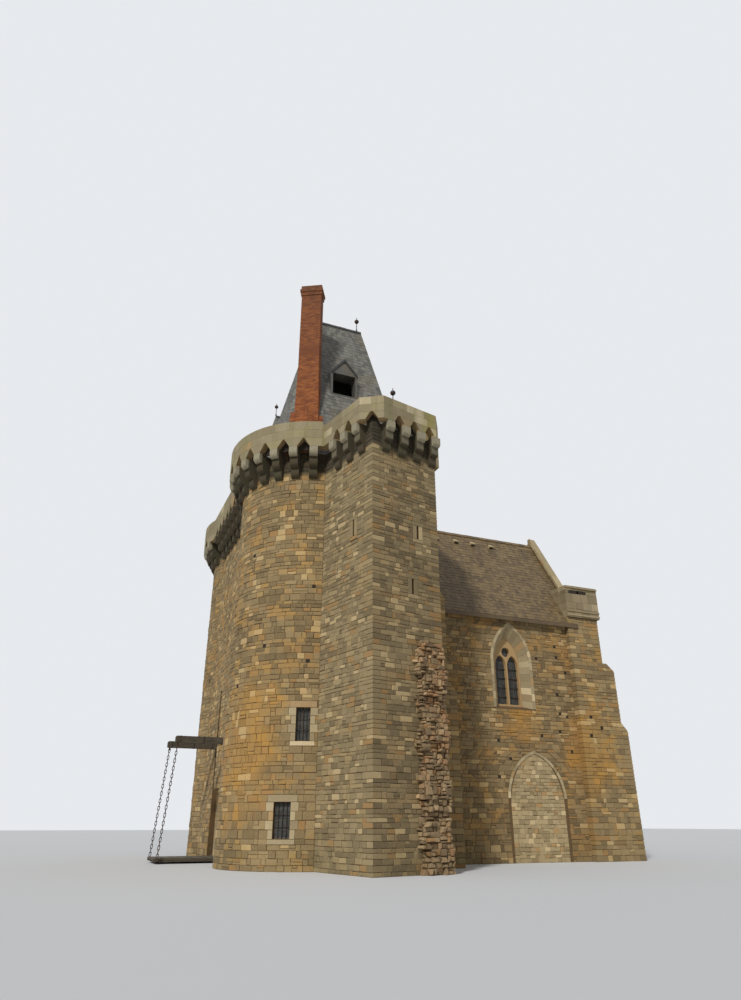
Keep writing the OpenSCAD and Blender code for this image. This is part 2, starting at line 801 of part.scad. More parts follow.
// Plan of the room between the towers, behind the gate
module gate_room() {
    difference() {
        translate([gate_x + gate_t, 0]) square([tower_back - wall_t + gate_face - gate_t, far_y]);
        tower_plan(0);
        translate([far_x, far_y]) tower_plan(0);
        translate([0, 0]) square([tower_back, tower_r]);
        translate([0, far_y - tower_r]) square([far_x + 1, tower_r]);
    }
}

module turret_room() {
    difference() {
        turret_frame() translate([turret_wall_t + bed, turret_wall_t + bed])
            square([turret_w - 2 * turret_wall_t - 2 * bed, turret_side]);
        tower_plan(0);
    }
}

module ground_floor() color(stone) placed() linear_extrude(paving_z) {
    tower_room();
    far_room();
    gate_room();
    turret_room();
    translate([hinge_x + heel_r + 10, gate_y - gate_w / 2]) square([gate_t - hinge_in - heel_r - 10, gate_w]);
    translate([chapel_west, chapel_south + chapel_wall_t])
        square([gable_x - chapel_west, 2 * (chapel_half_w - chapel_wall_t)]);
}

module timber_floors() color(timber) placed()
    for (z = [first_floor_z, upper_floor_z]) translate([0, 0, z - floor_t]) linear_extrude(floor_t) {
        tower_room();
        far_room();
        gate_room();
    }

module wall_walk() color(stone) placed() translate([0, 0, walk_z - floor_t]) linear_extrude(floor_t) {
    tower_room();
    far_room();
    gate_room();
    turret_room();
}

module chapel_wall_block(side) {
    outer = chapel_axis + side * chapel_half_w;
    inner = outer - side * chapel_wall_t;
    translate([chapel_west, 0, 0]) rotate([90, 0, 90]) linear_extrude(gable_x - chapel_west)
        polygon([[outer, 0], [inner, 0], [inner, chapel_top(inner) - chapel_roof_t - bed],
            [outer, chapel_top(outer) - chapel_roof_t - bed]]);
}

module chapel_window_cut() {
    mid_t = splay_d + tracery_d + 60;
    translate([window_x, 0, window_sill_z]) {
        hull() {
            translate([0, -1, 0]) rotate([90, 0, 0]) linear_extrude(1) window_plan(window_w, -150);
            translate([0, splay_d, 0]) rotate([90, 0, 0]) linear_extrude(1) window_plan(light_w, 0);
        }
        rotate([90, 0, 0]) translate([0, 0, -chapel_wall_t - 1]) linear_extrude(chapel_wall_t) window_plan(light_w, 0);
        hull() {
            translate([0, mid_t, 0]) rotate([90, 0, 0]) linear_extrude(1) window_plan(light_w, 0);
            translate([0, chapel_wall_t + 2, 0]) rotate([90, 0, 0]) linear_extrude(1) window_plan(window_w, -150);
        }
    }
}

module window_plan(w, foot) {
    pointed_arch(w, light_h, foot, $fn = 32);
}

module chapel_south_wall() color(stone) placed() difference() {
    chapel_wall_block(-1);
    translate([0, chapel_south, 0]) chapel_window_cut();
    translate([arch_x, chapel_south + arch_in, 0]) rotate([90, 0, 0]) linear_extrude(arch_in + 1)
        pointed_arch(arch_w, arch_spring_z);
}

module chapel_north_wall() color(stone) placed() difference() {
    chapel_wall_block(1);
    translate([0, chapel_north, 0]) mirror([0, 1, 0]) chapel_window_cut();
}

module chapel_tracery() color(pale_stone) placed()
    for (side = [-1, 1])
        translate([window_x, chapel_axis + side * (chapel_half_w - splay_d - tracery_d / 2), window_sill_z])
            rotate([90, 0, 0]) translate([0, 0, -tracery_d / 2]) linear_extrude(tracery_d) tracery_plan();

module tracery_plan() {
    bar = 90;
    lancet = (light_w - 3 * bar) / 2;
    difference() {
        pointed_arch(light_w, light_h);
        for (side = [-1, 1]) translate([side * (lancet + bar) / 2, 0])
            pointed_arch(lancet, light_h - 150, bar);
        translate([0, light_h + light_w * 0.36]) circle(light_w * 0.16);
    }
}

module chapel_glass() color([0.5, 0.6, 0.65, 0.6]) placed()
    for (side = [-1, 1])
        translate([window_x, chapel_axis + side * (chapel_half_w - splay_d - tracery_d - 12), window_sill_z])
            rotate([90, 0, 0]) translate([0, 0, -12]) linear_extrude(24) pointed_arch(light_w, light_h);

module chapel_slope(side) {
    foot = chapel_half_w + eaves;
    outer = chapel_axis + side * foot;
    difference() {
        translate([chapel_west, 0, 0]) rotate([90, 0, 90]) linear_extrude(gable_top_x - chapel_west - bed)
            polygon([[chapel_axis, chapel_ridge_z], [outer, chapel_top(outer)],
                [outer, chapel_top(outer) - chapel_roof_t], [chapel_axis, chapel_ridge_z - chapel_roof_t]]);
        pier_blocks();
    }
}

module chapel_roof_south() color(brown_slate) placed() chapel_slope(-1);

module chapel_roof_north() color(brown_slate) placed() chapel_slope(1);

module gable_outline(up, half) {
    polygon([[chapel_axis - half, 0], [chapel_axis + half, 0],
        [chapel_axis + half, chapel_top(chapel_axis + half) + up],
        [chapel_axis, chapel_ridge_z + up],
        [chapel_axis - half, chapel_top(chapel_axis + half) + up]]);
}

module chapel_gable_wall() color(stone) placed() difference() {
    union() {
        translate([gable_x, 0, 0]) rotate([90, 0, 90]) linear_extrude(gable_t)
            gable_outline(-chapel_roof_t - bed, chapel_half_w);
        translate([gable_top_x, 0, 0]) rotate([90, 0, 90]) linear_extrude(gable_top_t)
            gable_outline(gable_up, chapel_half_w);
    }
    pier_blocks();
}

module chapel_gable_coping() color(pale_stone) placed() difference() {
    coping_rise = coping_t * sqrt(1 + pow(roof_fall / 1000, 2));
    translate([gable_top_x - coping_out, 0, 0]) rotate([90, 0, 90]) linear_extrude(gable_top_t + 2 * coping_out)
        difference() {
            gable_outline(gable_up + coping_rise, chapel_half_w);
            gable_outline(gable_up, 2 * chapel_half_w);
        }
    pier_blocks();
}

module pier(side) {
    outer = chapel_axis + side * (chapel_half_w + pier_out);
    translate([pier_x, side < 0 ? outer : outer - pier_w, 0]) {
        translate([0, pier_w, 0]) rotate([90, 0, 0]) linear_extrude(pier_w)
            polygon([[0, 0], [pier_foot, 0], [pier_foot, pier_ledge_z], [pier_foot - pier_ledge, pier_ledge_z + 400],
                [pier_foot - pier_ledge, pier_shaft_z - 400], [pier_top, pier_shaft_z], [0, pier_shaft_z]]);
        translate([0, pier_cap_out, pier_shaft_z - 1])
            cube([pier_top - pier_cap_out, pier_w - 2 * pier_cap_out, pier_h - pier_shaft_z]);
        translate([0, 0, pier_h - pier_cap_h]) cube([pier_top, pier_w, pier_cap_h]);
    }
}

module pier_blocks() {
    for (side = [-1, 1]) pier(side);
}

module corner_piers() color(stone) placed() pier_blocks();

module corner_buttress() color(stone) placed()
    translate([tower_back, buttress_w - tower_r, 0]) rotate([90, 0, 0]) linear_extrude(buttress_w)
        polygon([[0, 0], [buttress_foot, 0], [buttress_foot, 6900], [buttress_top, 7300],
            [buttress_top, buttress_h - 1500], [0, buttress_h]]);

module fallen_wall_stub() color(stone) placed() turret_frame() {
    course = 400;
    for (i = [0:floor(stub_h / course) - 1])
        translate([turret_w - stub_w + 120 * sin(i * 97), -260 - 90 * sin(i * 71 + 20), i * course])
            cube([stub_w - 160 - 120 * sin(i * 97), 260 + 90 * sin(i * 71 + 20), course]);
}

// Outline of an arm about its pivot: a beam with blunted ends, and the block under it that holds the trunnions
module arm_profile() {
    nose = -lift_reach - arm_nose;
    foot = arm_up - arm_d / 2;
    polygon([[nose, foot + 40], [nose + 40, foot], [-pivot_block, foot], [-pivot_block + 50, -70],
        [pivot_block - 50, -70], [pivot_block, foot], [arm_tail, foot], [arm_tail, arm_top],
        [nose + 40, arm_top], [nose, arm_top - 40]]);
}

// Two iron lugs under an arm's nose, with a bore for the chain's pin
module arm_lugs() {
    difference() {
        for (s = [-1, 1]) translate([-35, s * lug_mid - lug_t / 2, -50]) cube([70, lug_t, 50 + arm_up - arm_d / 2]);
        rotate([90, 0, 0]) cylinder(r = pin_r + pin_gap, h = 2 * lug_mid + 2 * lug_t, center = true);
    }
}

module bridge_arms() color(timber) placed() {
    for (side = [-1, 1]) translate([pivot_x, gate_y + side * arm_y, arm_z]) {
        rotate([90, 0, 0]) translate([0, 0, -arm_w / 2]) linear_extrude(arm_w) arm_profile();
        translate([-lift_reach, 0, 0]) arm_lugs();
        for (s = [-1, 1]) translate([0, s * (arm_w / 2 + 75), 0]) rotate([90, 0, 0])
            cylinder(r = trunnion_r, h = 150, center = true);
    }
}

module bridge_deck() color(timber) placed() translate([hinge_x, gate_y, hinge_z]) {
    rotate([90, 0, 0]) cylinder(r = heel_r, h = deck_w, center = true);
    rotate([90, 0, 0]) cylinder(r = trunnion_r, h = 2 * (recess_half_w + 80), center = true);
    translate([-deck_end, -deck_w / 2, -10]) cube([deck_end, deck_w, deck_t]);
    for (y = [-0.5, 0, 0.5]) translate([-deck_end, y * (deck_w - 200) - 80, -80]) cube([deck_end, 160, 70]);
    translate([-lift_reach - 70, -deck_w / 2, -80]) cube([140, deck_w, 140]);
    rotate([90, 0, 0]) translate([-lift_reach, 0, 0]) cylinder(r = 30, h = 2 * (arm_y + 90), center = true);
}

module link() {
    linear_extrude(link_bar, center = true) difference() {
        union() {
            translate([0, link_w / 2]) circle(d = link_w, $fn = 12);
            translate([0, -link_w / 2]) circle(d = link_w, $fn = 12);
            square([link_w, link_w], center = true);
        }
        translate([0, link_w / 2]) circle(d = link_w - 2 * link_bar, $fn = 12);
        translate([0, -link_w / 2]) circle(d = link_w - 2 * link_bar, $fn = 12);
        square([link_w - 2 * link_bar, link_w], center = true);
    }
}

chain_run = sqrt(chain_lean * chain_lean + (arm_z - hinge_z) * (arm_z - hinge_z));
chain_tilt = atan2(chain_lean, arm_z - hinge_z);
// Radius of the ring at a chain's foot
hook_r = 76;
// Half the length of the block that holds an arm's trunnions
pivot_block = 190;
// Thickness of the lugs that hold a chain's pin, and distance of their middles from the arm's middle
lug_t = 24;
lug_mid = link_bar / 2 + 8 + lug_t / 2;

// Links from the pin down to the ring, each gripping the next
module chain() {
    first = -link_w / 2 - 2;
    last = -chain_run + hook_r + link_w - link_bar + 1;
    count = round((first - last) / (2 * link_w - 2 * link_bar + 1)) + 1;
    pitch = (first - last) / (count - 1);
    for (i = [0:count - 1])
        translate([0, 0, first - i * pitch]) rotate([90, 0, (i % 2) * 90]) link();
}

module bridge_chains() color(iron) placed()
    for (side = [-1, 1]) translate([pivot_x - lift_reach, gate_y + side * arm_y, arm_z]) rotate([0, chain_tilt, 0]) {
        rotate([90, 0, 0]) cylinder(r = pin_r, h = 2 * lug_mid + 2 * lug_t, center = true);
        chain();
        translate([0, 0, -chain_run]) rotate([90, 0, 0]) difference() {
            cylinder(r = hook_r, h = link_bar, center = true);
            cylinder(r = hook_r - link_bar, h = link_bar + 2, center = true);
        }
    }

near_tower_round_south();
near_tower_round_north();
near_tower_side_walls();
far_tower_round_south();
far_tower_round_north();
far_tower_side_walls();
back_wall();
gate_jambs();
gate_arch();
gate_slot_walls();
gate_upper_wall();
turret_side_walls();
turret_front_wall();
near_tower_parapet();
far_tower_parapet();
turret_parapet();
side_parapets();
near_tower_corbels();
far_tower_corbels();
turret_corbels();
side_corbels();
near_tower_roof();
far_tower_roof();
turret_roof();
roof_finials();
roof_dormers();
chimney_stack();
chimney_cap();
ground_floor();
timber_floors();
wall_walk();
chapel_south_wall();
chapel_north_wall();
chapel_gable_wall();
chapel_gable_coping();
chapel_roof_south();
chapel_roof_north();
chapel_tracery();
chapel_glass();
corner_piers();
corner_buttress();
fallen_wall_stub();
bridge_arms();
bridge_deck();
bridge_chains();
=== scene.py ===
"""Castle keep: the stones, slates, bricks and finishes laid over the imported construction.

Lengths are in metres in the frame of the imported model: +Z up, the drawbridge faces -X.
"""

import logging
import math
import random
from dataclasses import dataclass, field
from enum import Enum
from typing import Callable, ClassVar, Iterable, Optional, Sequence

import bmesh
import bpy
import numpy as np
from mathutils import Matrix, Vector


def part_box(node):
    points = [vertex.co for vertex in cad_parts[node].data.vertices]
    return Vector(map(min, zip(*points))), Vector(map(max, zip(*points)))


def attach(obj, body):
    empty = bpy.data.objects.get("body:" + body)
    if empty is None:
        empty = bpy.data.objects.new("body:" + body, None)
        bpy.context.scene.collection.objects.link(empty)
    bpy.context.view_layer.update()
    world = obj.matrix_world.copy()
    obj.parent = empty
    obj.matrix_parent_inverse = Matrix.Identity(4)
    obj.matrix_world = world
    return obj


LOG = logging.getLogger("castle_keep")
UP = np.array([0.0, 0.0, 1.0])
TURRET_TURN = math.radians(12.9)
# How far a corner may lie off a face that it belongs to
ON_FACE = 0.004
# Stretch of u without a limit
ENDLESS = (-1e9, 1e9)


class Body(Enum):
    """The bodies that a piece rides on."""

    KEEP = "keep"
    ARMS = "arms"
    DECK = "deck"


Pair = tuple[float, float]
Colour = tuple[float, float, float]


# Shader building

def operator(operation: str, swapped: bool = False) -> Callable[["Sock", object], "Sock"]:
    """Make one arithmetic operator of Sock.

    Args:
        operation: The Math node's operation.
        swapped: Whether the wrapped value stands on the right.

    Returns:
        The operator.
    """
    def combine(self: "Sock", other: object) -> "Sock":
        """Add the Math node."""
        left, right = (other, self) if swapped else (self, other)
        return self.shader.add("ShaderNodeMath", {"operation": operation}, {0: left, 1: right})

    return combine


class Sock:
    """A value or a colour in a node tree, which adds its own nodes when it is used in an expression."""

    def __init__(self, shader: "Shader", socket: bpy.types.NodeSocket) -> None:
        """Wrap one output socket of a shader's tree."""
        self.shader = shader
        self.socket = socket

    __add__ = __radd__ = operator("ADD")
    __mul__ = __rmul__ = operator("MULTIPLY")
    __sub__ = operator("SUBTRACT")
    __rsub__ = operator("SUBTRACT", swapped=True)
    __truediv__ = operator("DIVIDE")
    __pow__ = operator("POWER")

    def clamp(self, low: float = 0.0, high: float = 1.0) -> "Sock":
        """The value kept between two limits."""
        return self.shader.add("ShaderNodeClamp", {}, {"Value": self, "Min": low, "Max": high})

    def step(self, low: float, high: float) -> "Sock":
        """The value's place between two limits, from 0 to 1, smoothed."""
        inputs = {"Value": self, "From Min": low, "From Max": high}
        return self.shader.add("ShaderNodeMapRange", {"interpolation_type": "SMOOTHSTEP"}, inputs)


class Shader:
    """One material's node tree, built by expressions."""

    def __init__(self, name: str) -> None:
        """Make an empty material with an output and a Principled shader."""
        self.material = bpy.data.materials.new(name)
        self.material.use_nodes = True
        self.tree = self.material.node_tree
        self.tree.nodes.clear()
        self.output = self.tree.nodes.new("ShaderNodeOutputMaterial")
        self.surface = self.tree.nodes.new("ShaderNodeBsdfPrincipled")
        self.tree.links.new(self.surface.outputs[0], self.output.inputs["Surface"])
        self.place = self.add("ShaderNodeTexCoord", {}, {}, "Object")
        axes = self.tree.nodes.new("ShaderNodeSeparateXYZ")
        self.tree.links.new(self.place.socket, axes.inputs[0])
        self.x, self.y, self.z = (Sock(self, axes.outputs[i]) for i in range(3))

    def _feed(self, socket: bpy.types.NodeSocket, value: object) -> None:
        """Link or set one input socket."""
        if isinstance(value, Sock):
            self.tree.links.new(value.socket, socket)
        elif isinstance(value, (tuple, list)) and len(value) == 3 and socket.type == "RGBA":
            socket.default_value = (*value, 1.0)
        else:
            socket.default_value = value

    def add(self, kind: str, settings: dict[str, object], inputs: dict[object, object],
            output: object = 0) -> Sock:
        """Add one node.

        Args:
            kind: The node's type.
            settings: Its own settings, set first.
            inputs: Values or links of its sockets, by name or number.
            output: The socket to return, by name or number.

        Returns:
            The chosen output.
        """
        node = self.tree.nodes.new(kind)
        for key, value in settings.items():
            setattr(node, key, value)
        for key, value in inputs.items():
            self._feed(node.inputs[key], value)
        return Sock(self, node.outputs[output])

    def mix(self, factor: object, first: object, second: object) -> Sock:
        """Blend two colours by a factor."""
        inputs = {0: factor, 6: first, 7: second}
        return self.add("ShaderNodeMix", {"data_type": "RGBA"}, inputs, 2)

    def noise(self, scale: float, detail: float = 3.0, stretch: Colour = (1.0, 1.0, 1.0),
              shift: float = 0.0) -> Sock:
        """Noise on the object's own coordinates, with cells of about 1 / scale metres."""
        moved = (shift, shift * 0.7, shift * 1.3)
        place = self.add("ShaderNodeMapping", {}, {0: self.place, 1: moved, 3: stretch})
        inputs = {0: place, "Scale": scale, "Detail": detail, "Roughness": 0.55}
        return self.add("ShaderNodeTexNoise", {}, inputs, "Fac")

    def cells(self, scale: float) -> Sock:
        """Distance to the nearest of many scattered points."""
        return self.add("ShaderNodeTexVoronoi", {}, {0: self.place, "Scale": scale}, "Distance")

    def attribute(self, name: str) -> Sock:
        """A number stored on the mesh."""
        return self.add("ShaderNodeAttribute", {"attribute_name": name}, {}, "Fac")

    def finish(self, colour: Sock, height: Optional[Sock], depth: float, rough: object,
               metal: object = 0.0) -> bpy.types.Material:
        """Connect the surface.

        Args:
            colour: Base colour.
            height: Height of the relief, from 0 to 1, or None.
            depth: Depth of the relief in metres.
            rough: Roughness.
            metal: Metallic.

        Returns:
            The finished material.
        """
        self._feed(self.surface.inputs["Base Color"], colour)
        self._feed(self.surface.inputs["Roughness"], rough)
        self._feed(self.surface.inputs["Metallic"], metal)
        if height is not None:
            inputs = {"Height": height, "Distance": depth, "Strength": 1.0}
            self._feed(self.surface.inputs["Normal"], self.add("ShaderNodeBump", {}, inputs, "Normal"))
        return self.material


# Finishes

@dataclass(frozen=True)
class StoneFinish:
    """Weathered stone: its own colours, with lichen, streaks and a damp foot by height, and painted shade
    above a set height.
    """

    name: str
    dark: Colour
    light: Colour
    lichen: Colour
    algae: Colour
    tone_amount: float = 1.0
    lichen_amount: float = 0.5
    algae_amount: float = 0.3
    grain: float = 0.006
    keep_top: float = 17.4
    # Painted shade: from this height up the stone darkens towards near-black, over a reach and with a
    # strength
    painted_shade_z: float = 99.0
    painted_shade_reach: float = 0.3
    painted_shade_amount: float = 0.92

    def build(self, ochre: Sequence[tuple[float, float, float, float]] = (),
              pale: Optional[Callable[[Shader], Sock]] = None) -> bpy.types.Material:
        """Make the material.

        Args:
            ochre: Places of strong ochre lichen, each x, y, z and radius.
            pale: Says where a painted highlight lightens the stone.

        Returns:
            The material.
        """
        s = Shader(self.name)
        tone = s.attribute("tone")
        wide = s.noise(0.35, 4.0, shift=3.1)
        patch = s.noise(1.1, 5.0, shift=7.7)
        fine = s.noise(14.0, 6.0)
        speck = s.noise(60.0, 3.0, shift=1.7)
        body = (tone * self.tone_amount * 0.75 + wide * 0.55 + fine * 0.45 - 0.42).clamp()
        colour = s.mix(body, self.dark, self.light)
        warm = (patch + tone * 0.25).step(0.62, 0.84) * self.lichen_amount
        for x, y, z, radius in ochre:
            across = (s.x - x) * (s.x - x) + (s.y - y) * (s.y - y)
            reach = (across + (s.z - z) * (s.z - z) * 0.35) / (radius * radius)
            near = (1.0 - reach).clamp()
            warm = warm + (near * (patch * 1.3 + fine * 0.4)).step(0.35, 0.8) * 0.5
        colour = s.mix(warm.clamp(0.0, 0.85), colour, self.lichen)
        colour = s.mix(tone.step(0.92, 0.94) * 0.5, colour, tuple(min(1.0, c * 1.35) for c in self.light))
        red = tuple(c * k for c, k in zip(self.light, (0.95, 0.72, 0.5)))
        colour = s.mix((1.0 - tone.step(0.05, 0.07)) * 0.6, colour, red)
        below = (self.keep_top - s.z).step(5.5, 0.0)
        streak = s.noise(2.2, 3.0, (1.0, 1.0, 0.12), 5.0)
        damp = (1.9 - s.z).step(0.0, 1.8)
        green = ((below * streak.step(0.4, 0.75)) + damp * patch.step(0.35, 0.7)) * self.algae_amount
        colour = s.mix(green.clamp(0.0, 0.85), colour, self.algae)
        pits = s.cells(22.0).step(0.05, 0.35)
        colour = s.mix((1.0 - pits) * 0.5 + speck.step(0.62, 0.75) * 0.22, colour,
                       tuple(c * 0.45 for c in self.dark))
        # Painted shade: near-black above the set height, standing in for the shade under the machicolations
        # and under the chapel's eaves
        painted_shade = s.z.step(self.painted_shade_z, self.painted_shade_z + self.painted_shade_reach) * (fine * 0.5 + 0.65)
        colour = s.mix(painted_shade.clamp() * self.painted_shade_amount, colour, (0.012, 0.011, 0.007))
        # Painted highlight where pale says, in the lichen colour
        if pale:
            colour = s.mix(pale(s) * (fine * 0.8 + 0.4), colour, self.lichen)
        height = fine * 0.5 + speck * 0.2 + pits * 0.3
        return s.finish(colour, height, self.grain, 0.9)


@dataclass(frozen=True)
class SlateFinish:
    """Slates: cool or brown grey with pale streaks, stains and lichen dots."""

    name: str
    dark: Colour
    light: Colour
    stain: Colour
    stain_amount: float = 0.4

    def build(self) -> bpy.types.Material:
        """Make the material."""
        s = Shader(self.name)
        tone = s.attribute("tone")
        streak = s.noise(1.6, 4.0, (1.0, 1.0, 0.16), 2.0)
        fine = s.noise(9.0, 5.0)
        blot = s.noise(0.8, 4.0, shift=9.0)
        colour = s.mix((tone * 0.55 + streak * 0.6 + fine * 0.3 - 0.3).clamp(), self.dark, self.light)
        colour = s.mix(blot.step(0.48, 0.72) * self.stain_amount, colour, self.stain)
        dots = s.cells(7.0)
        colour = s.mix((1.0 - dots.step(0.1, 0.22)) * fine.step(0.5, 0.6) * 0.5, colour, (0.36, 0.34, 0.26))
        return s.finish(colour, fine * 0.6 + tone * 0.4, 0.004, 0.62)


@dataclass(frozen=True)
class BrickFinish:
    """Old bricks, orange to dark red, sooty at the top."""

    name: str
    dark: Colour = (0.20, 0.052, 0.015)
    light: Colour = (0.42, 0.135, 0.034)
    soot_and_shade: Colour = (0.06, 0.035, 0.02)
    band_low: float = 23.5
    band_high: float = 24.5
    top: float = 28.4

    def build(self) -> bpy.types.Material:
        """Make the material."""
        s = Shader(self.name)
        tone = s.attribute("tone")
        fine = s.noise(16.0, 5.0)
        wide = s.noise(0.9, 3.0, shift=4.0)
        colour = s.mix((tone * 0.9 + fine * 0.3 + wide * 0.5 - 0.4).clamp(), self.dark, self.light)
        band = s.z.step(self.band_low, self.band_low + 0.3)
        band = band * (1.0 - s.z.step(self.band_high - 0.4, self.band_high))
        colour = s.mix((band * 0.6 * (0.4 + tone)).clamp(), colour, self.dark)
        colour = s.mix((s.z - 19.0).step(0.0, 9.0) * 0.35, colour, self.soot_and_shade)
        soot_and_shade = (s.z - (self.top - 1.6)).step(0.0, 1.6) * wide.step(0.3, 0.6)
        colour = s.mix(soot_and_shade * 0.5, colour, self.soot_and_shade)
        lime = s.noise(2.5, 4.0, (1.0, 1.0, 0.3), 12.0).step(0.62, 0.8)
        colour = s.mix(lime * 0.3, colour, (0.42, 0.30, 0.18))
        return s.finish(colour, fine, 0.004, 0.88)


@dataclass(frozen=True)
class WoodFinish:
    """Weathered oak, dark to grey-brown along its grain, with dark cracks."""

    name: str
    dark: Colour = (0.055, 0.042, 0.025)
    light: Colour = (0.20, 0.165, 0.11)
    along: Colour = (0.12, 1.0, 1.0)

    def build(self) -> bpy.types.Material:
        """Make the material."""
        s = Shader(self.name)
        tone = s.attribute("tone")
        grain = s.noise(26.0, 5.0, self.along)
        wide = s.noise(2.0, 3.0, self.along, 3.0)
        colour = s.mix((grain * 0.7 + wide * 0.5 + tone * 0.5 - 0.45).clamp(), self.dark, self.light)
        cracks = grain.step(0.36, 0.44)
        colour = s.mix((1.0 - cracks) * 0.7, colour, (0.03, 0.025, 0.02))
        return s.finish(colour, grain * 0.6 + cracks * 0.4, 0.006, 0.82)


@dataclass(frozen=True)
class MetalFinish:
    """Wrought iron or lead with rust and dull patches."""

    name: str
    base: Colour = (0.028, 0.026, 0.025)
    rust: Colour = (0.13, 0.05, 0.022)
    rust_amount: float = 0.6
    rough: float = 0.6
    metal: float = 0.35

    def build(self) -> bpy.types.Material:
        """Make the material."""
        s = Shader(self.name)
        fine = s.noise(30.0, 5.0)
        wide = s.noise(4.0, 4.0, shift=2.0)
        rust = (wide + fine * 0.5).step(0.62, 0.92) * self.rust_amount
        colour = s.mix(rust, self.base, self.rust)
        return s.finish(colour, fine, 0.002, rust * 0.3 + self.rough, (1.0 - rust) * self.metal)


@dataclass(frozen=True)
class GlassFinish:
    """Old leaded glass: dull, blue-grey, each pane a little different."""

    name: str
    colour: Colour = (0.05, 0.052, 0.047)

    def build(self) -> bpy.types.Material:
        """Make the material."""
        s = Shader(self.name)
        pane = s.noise(3.5, 2.0)
        dust = s.noise(12.0, 4.0, shift=4.0)
        colour = s.mix(pane.step(0.35, 0.7), self.colour, tuple(c * 1.9 for c in self.colour))
        colour = s.mix(dust.step(0.5, 0.8) * 0.35, colour, (0.17, 0.15, 0.11))
        s.surface.inputs["Specular IOR Level"].default_value = 0.2
        return s.finish(colour, pane * 0.7 + dust * 0.3, 0.004, dust * 0.25 + 0.12)


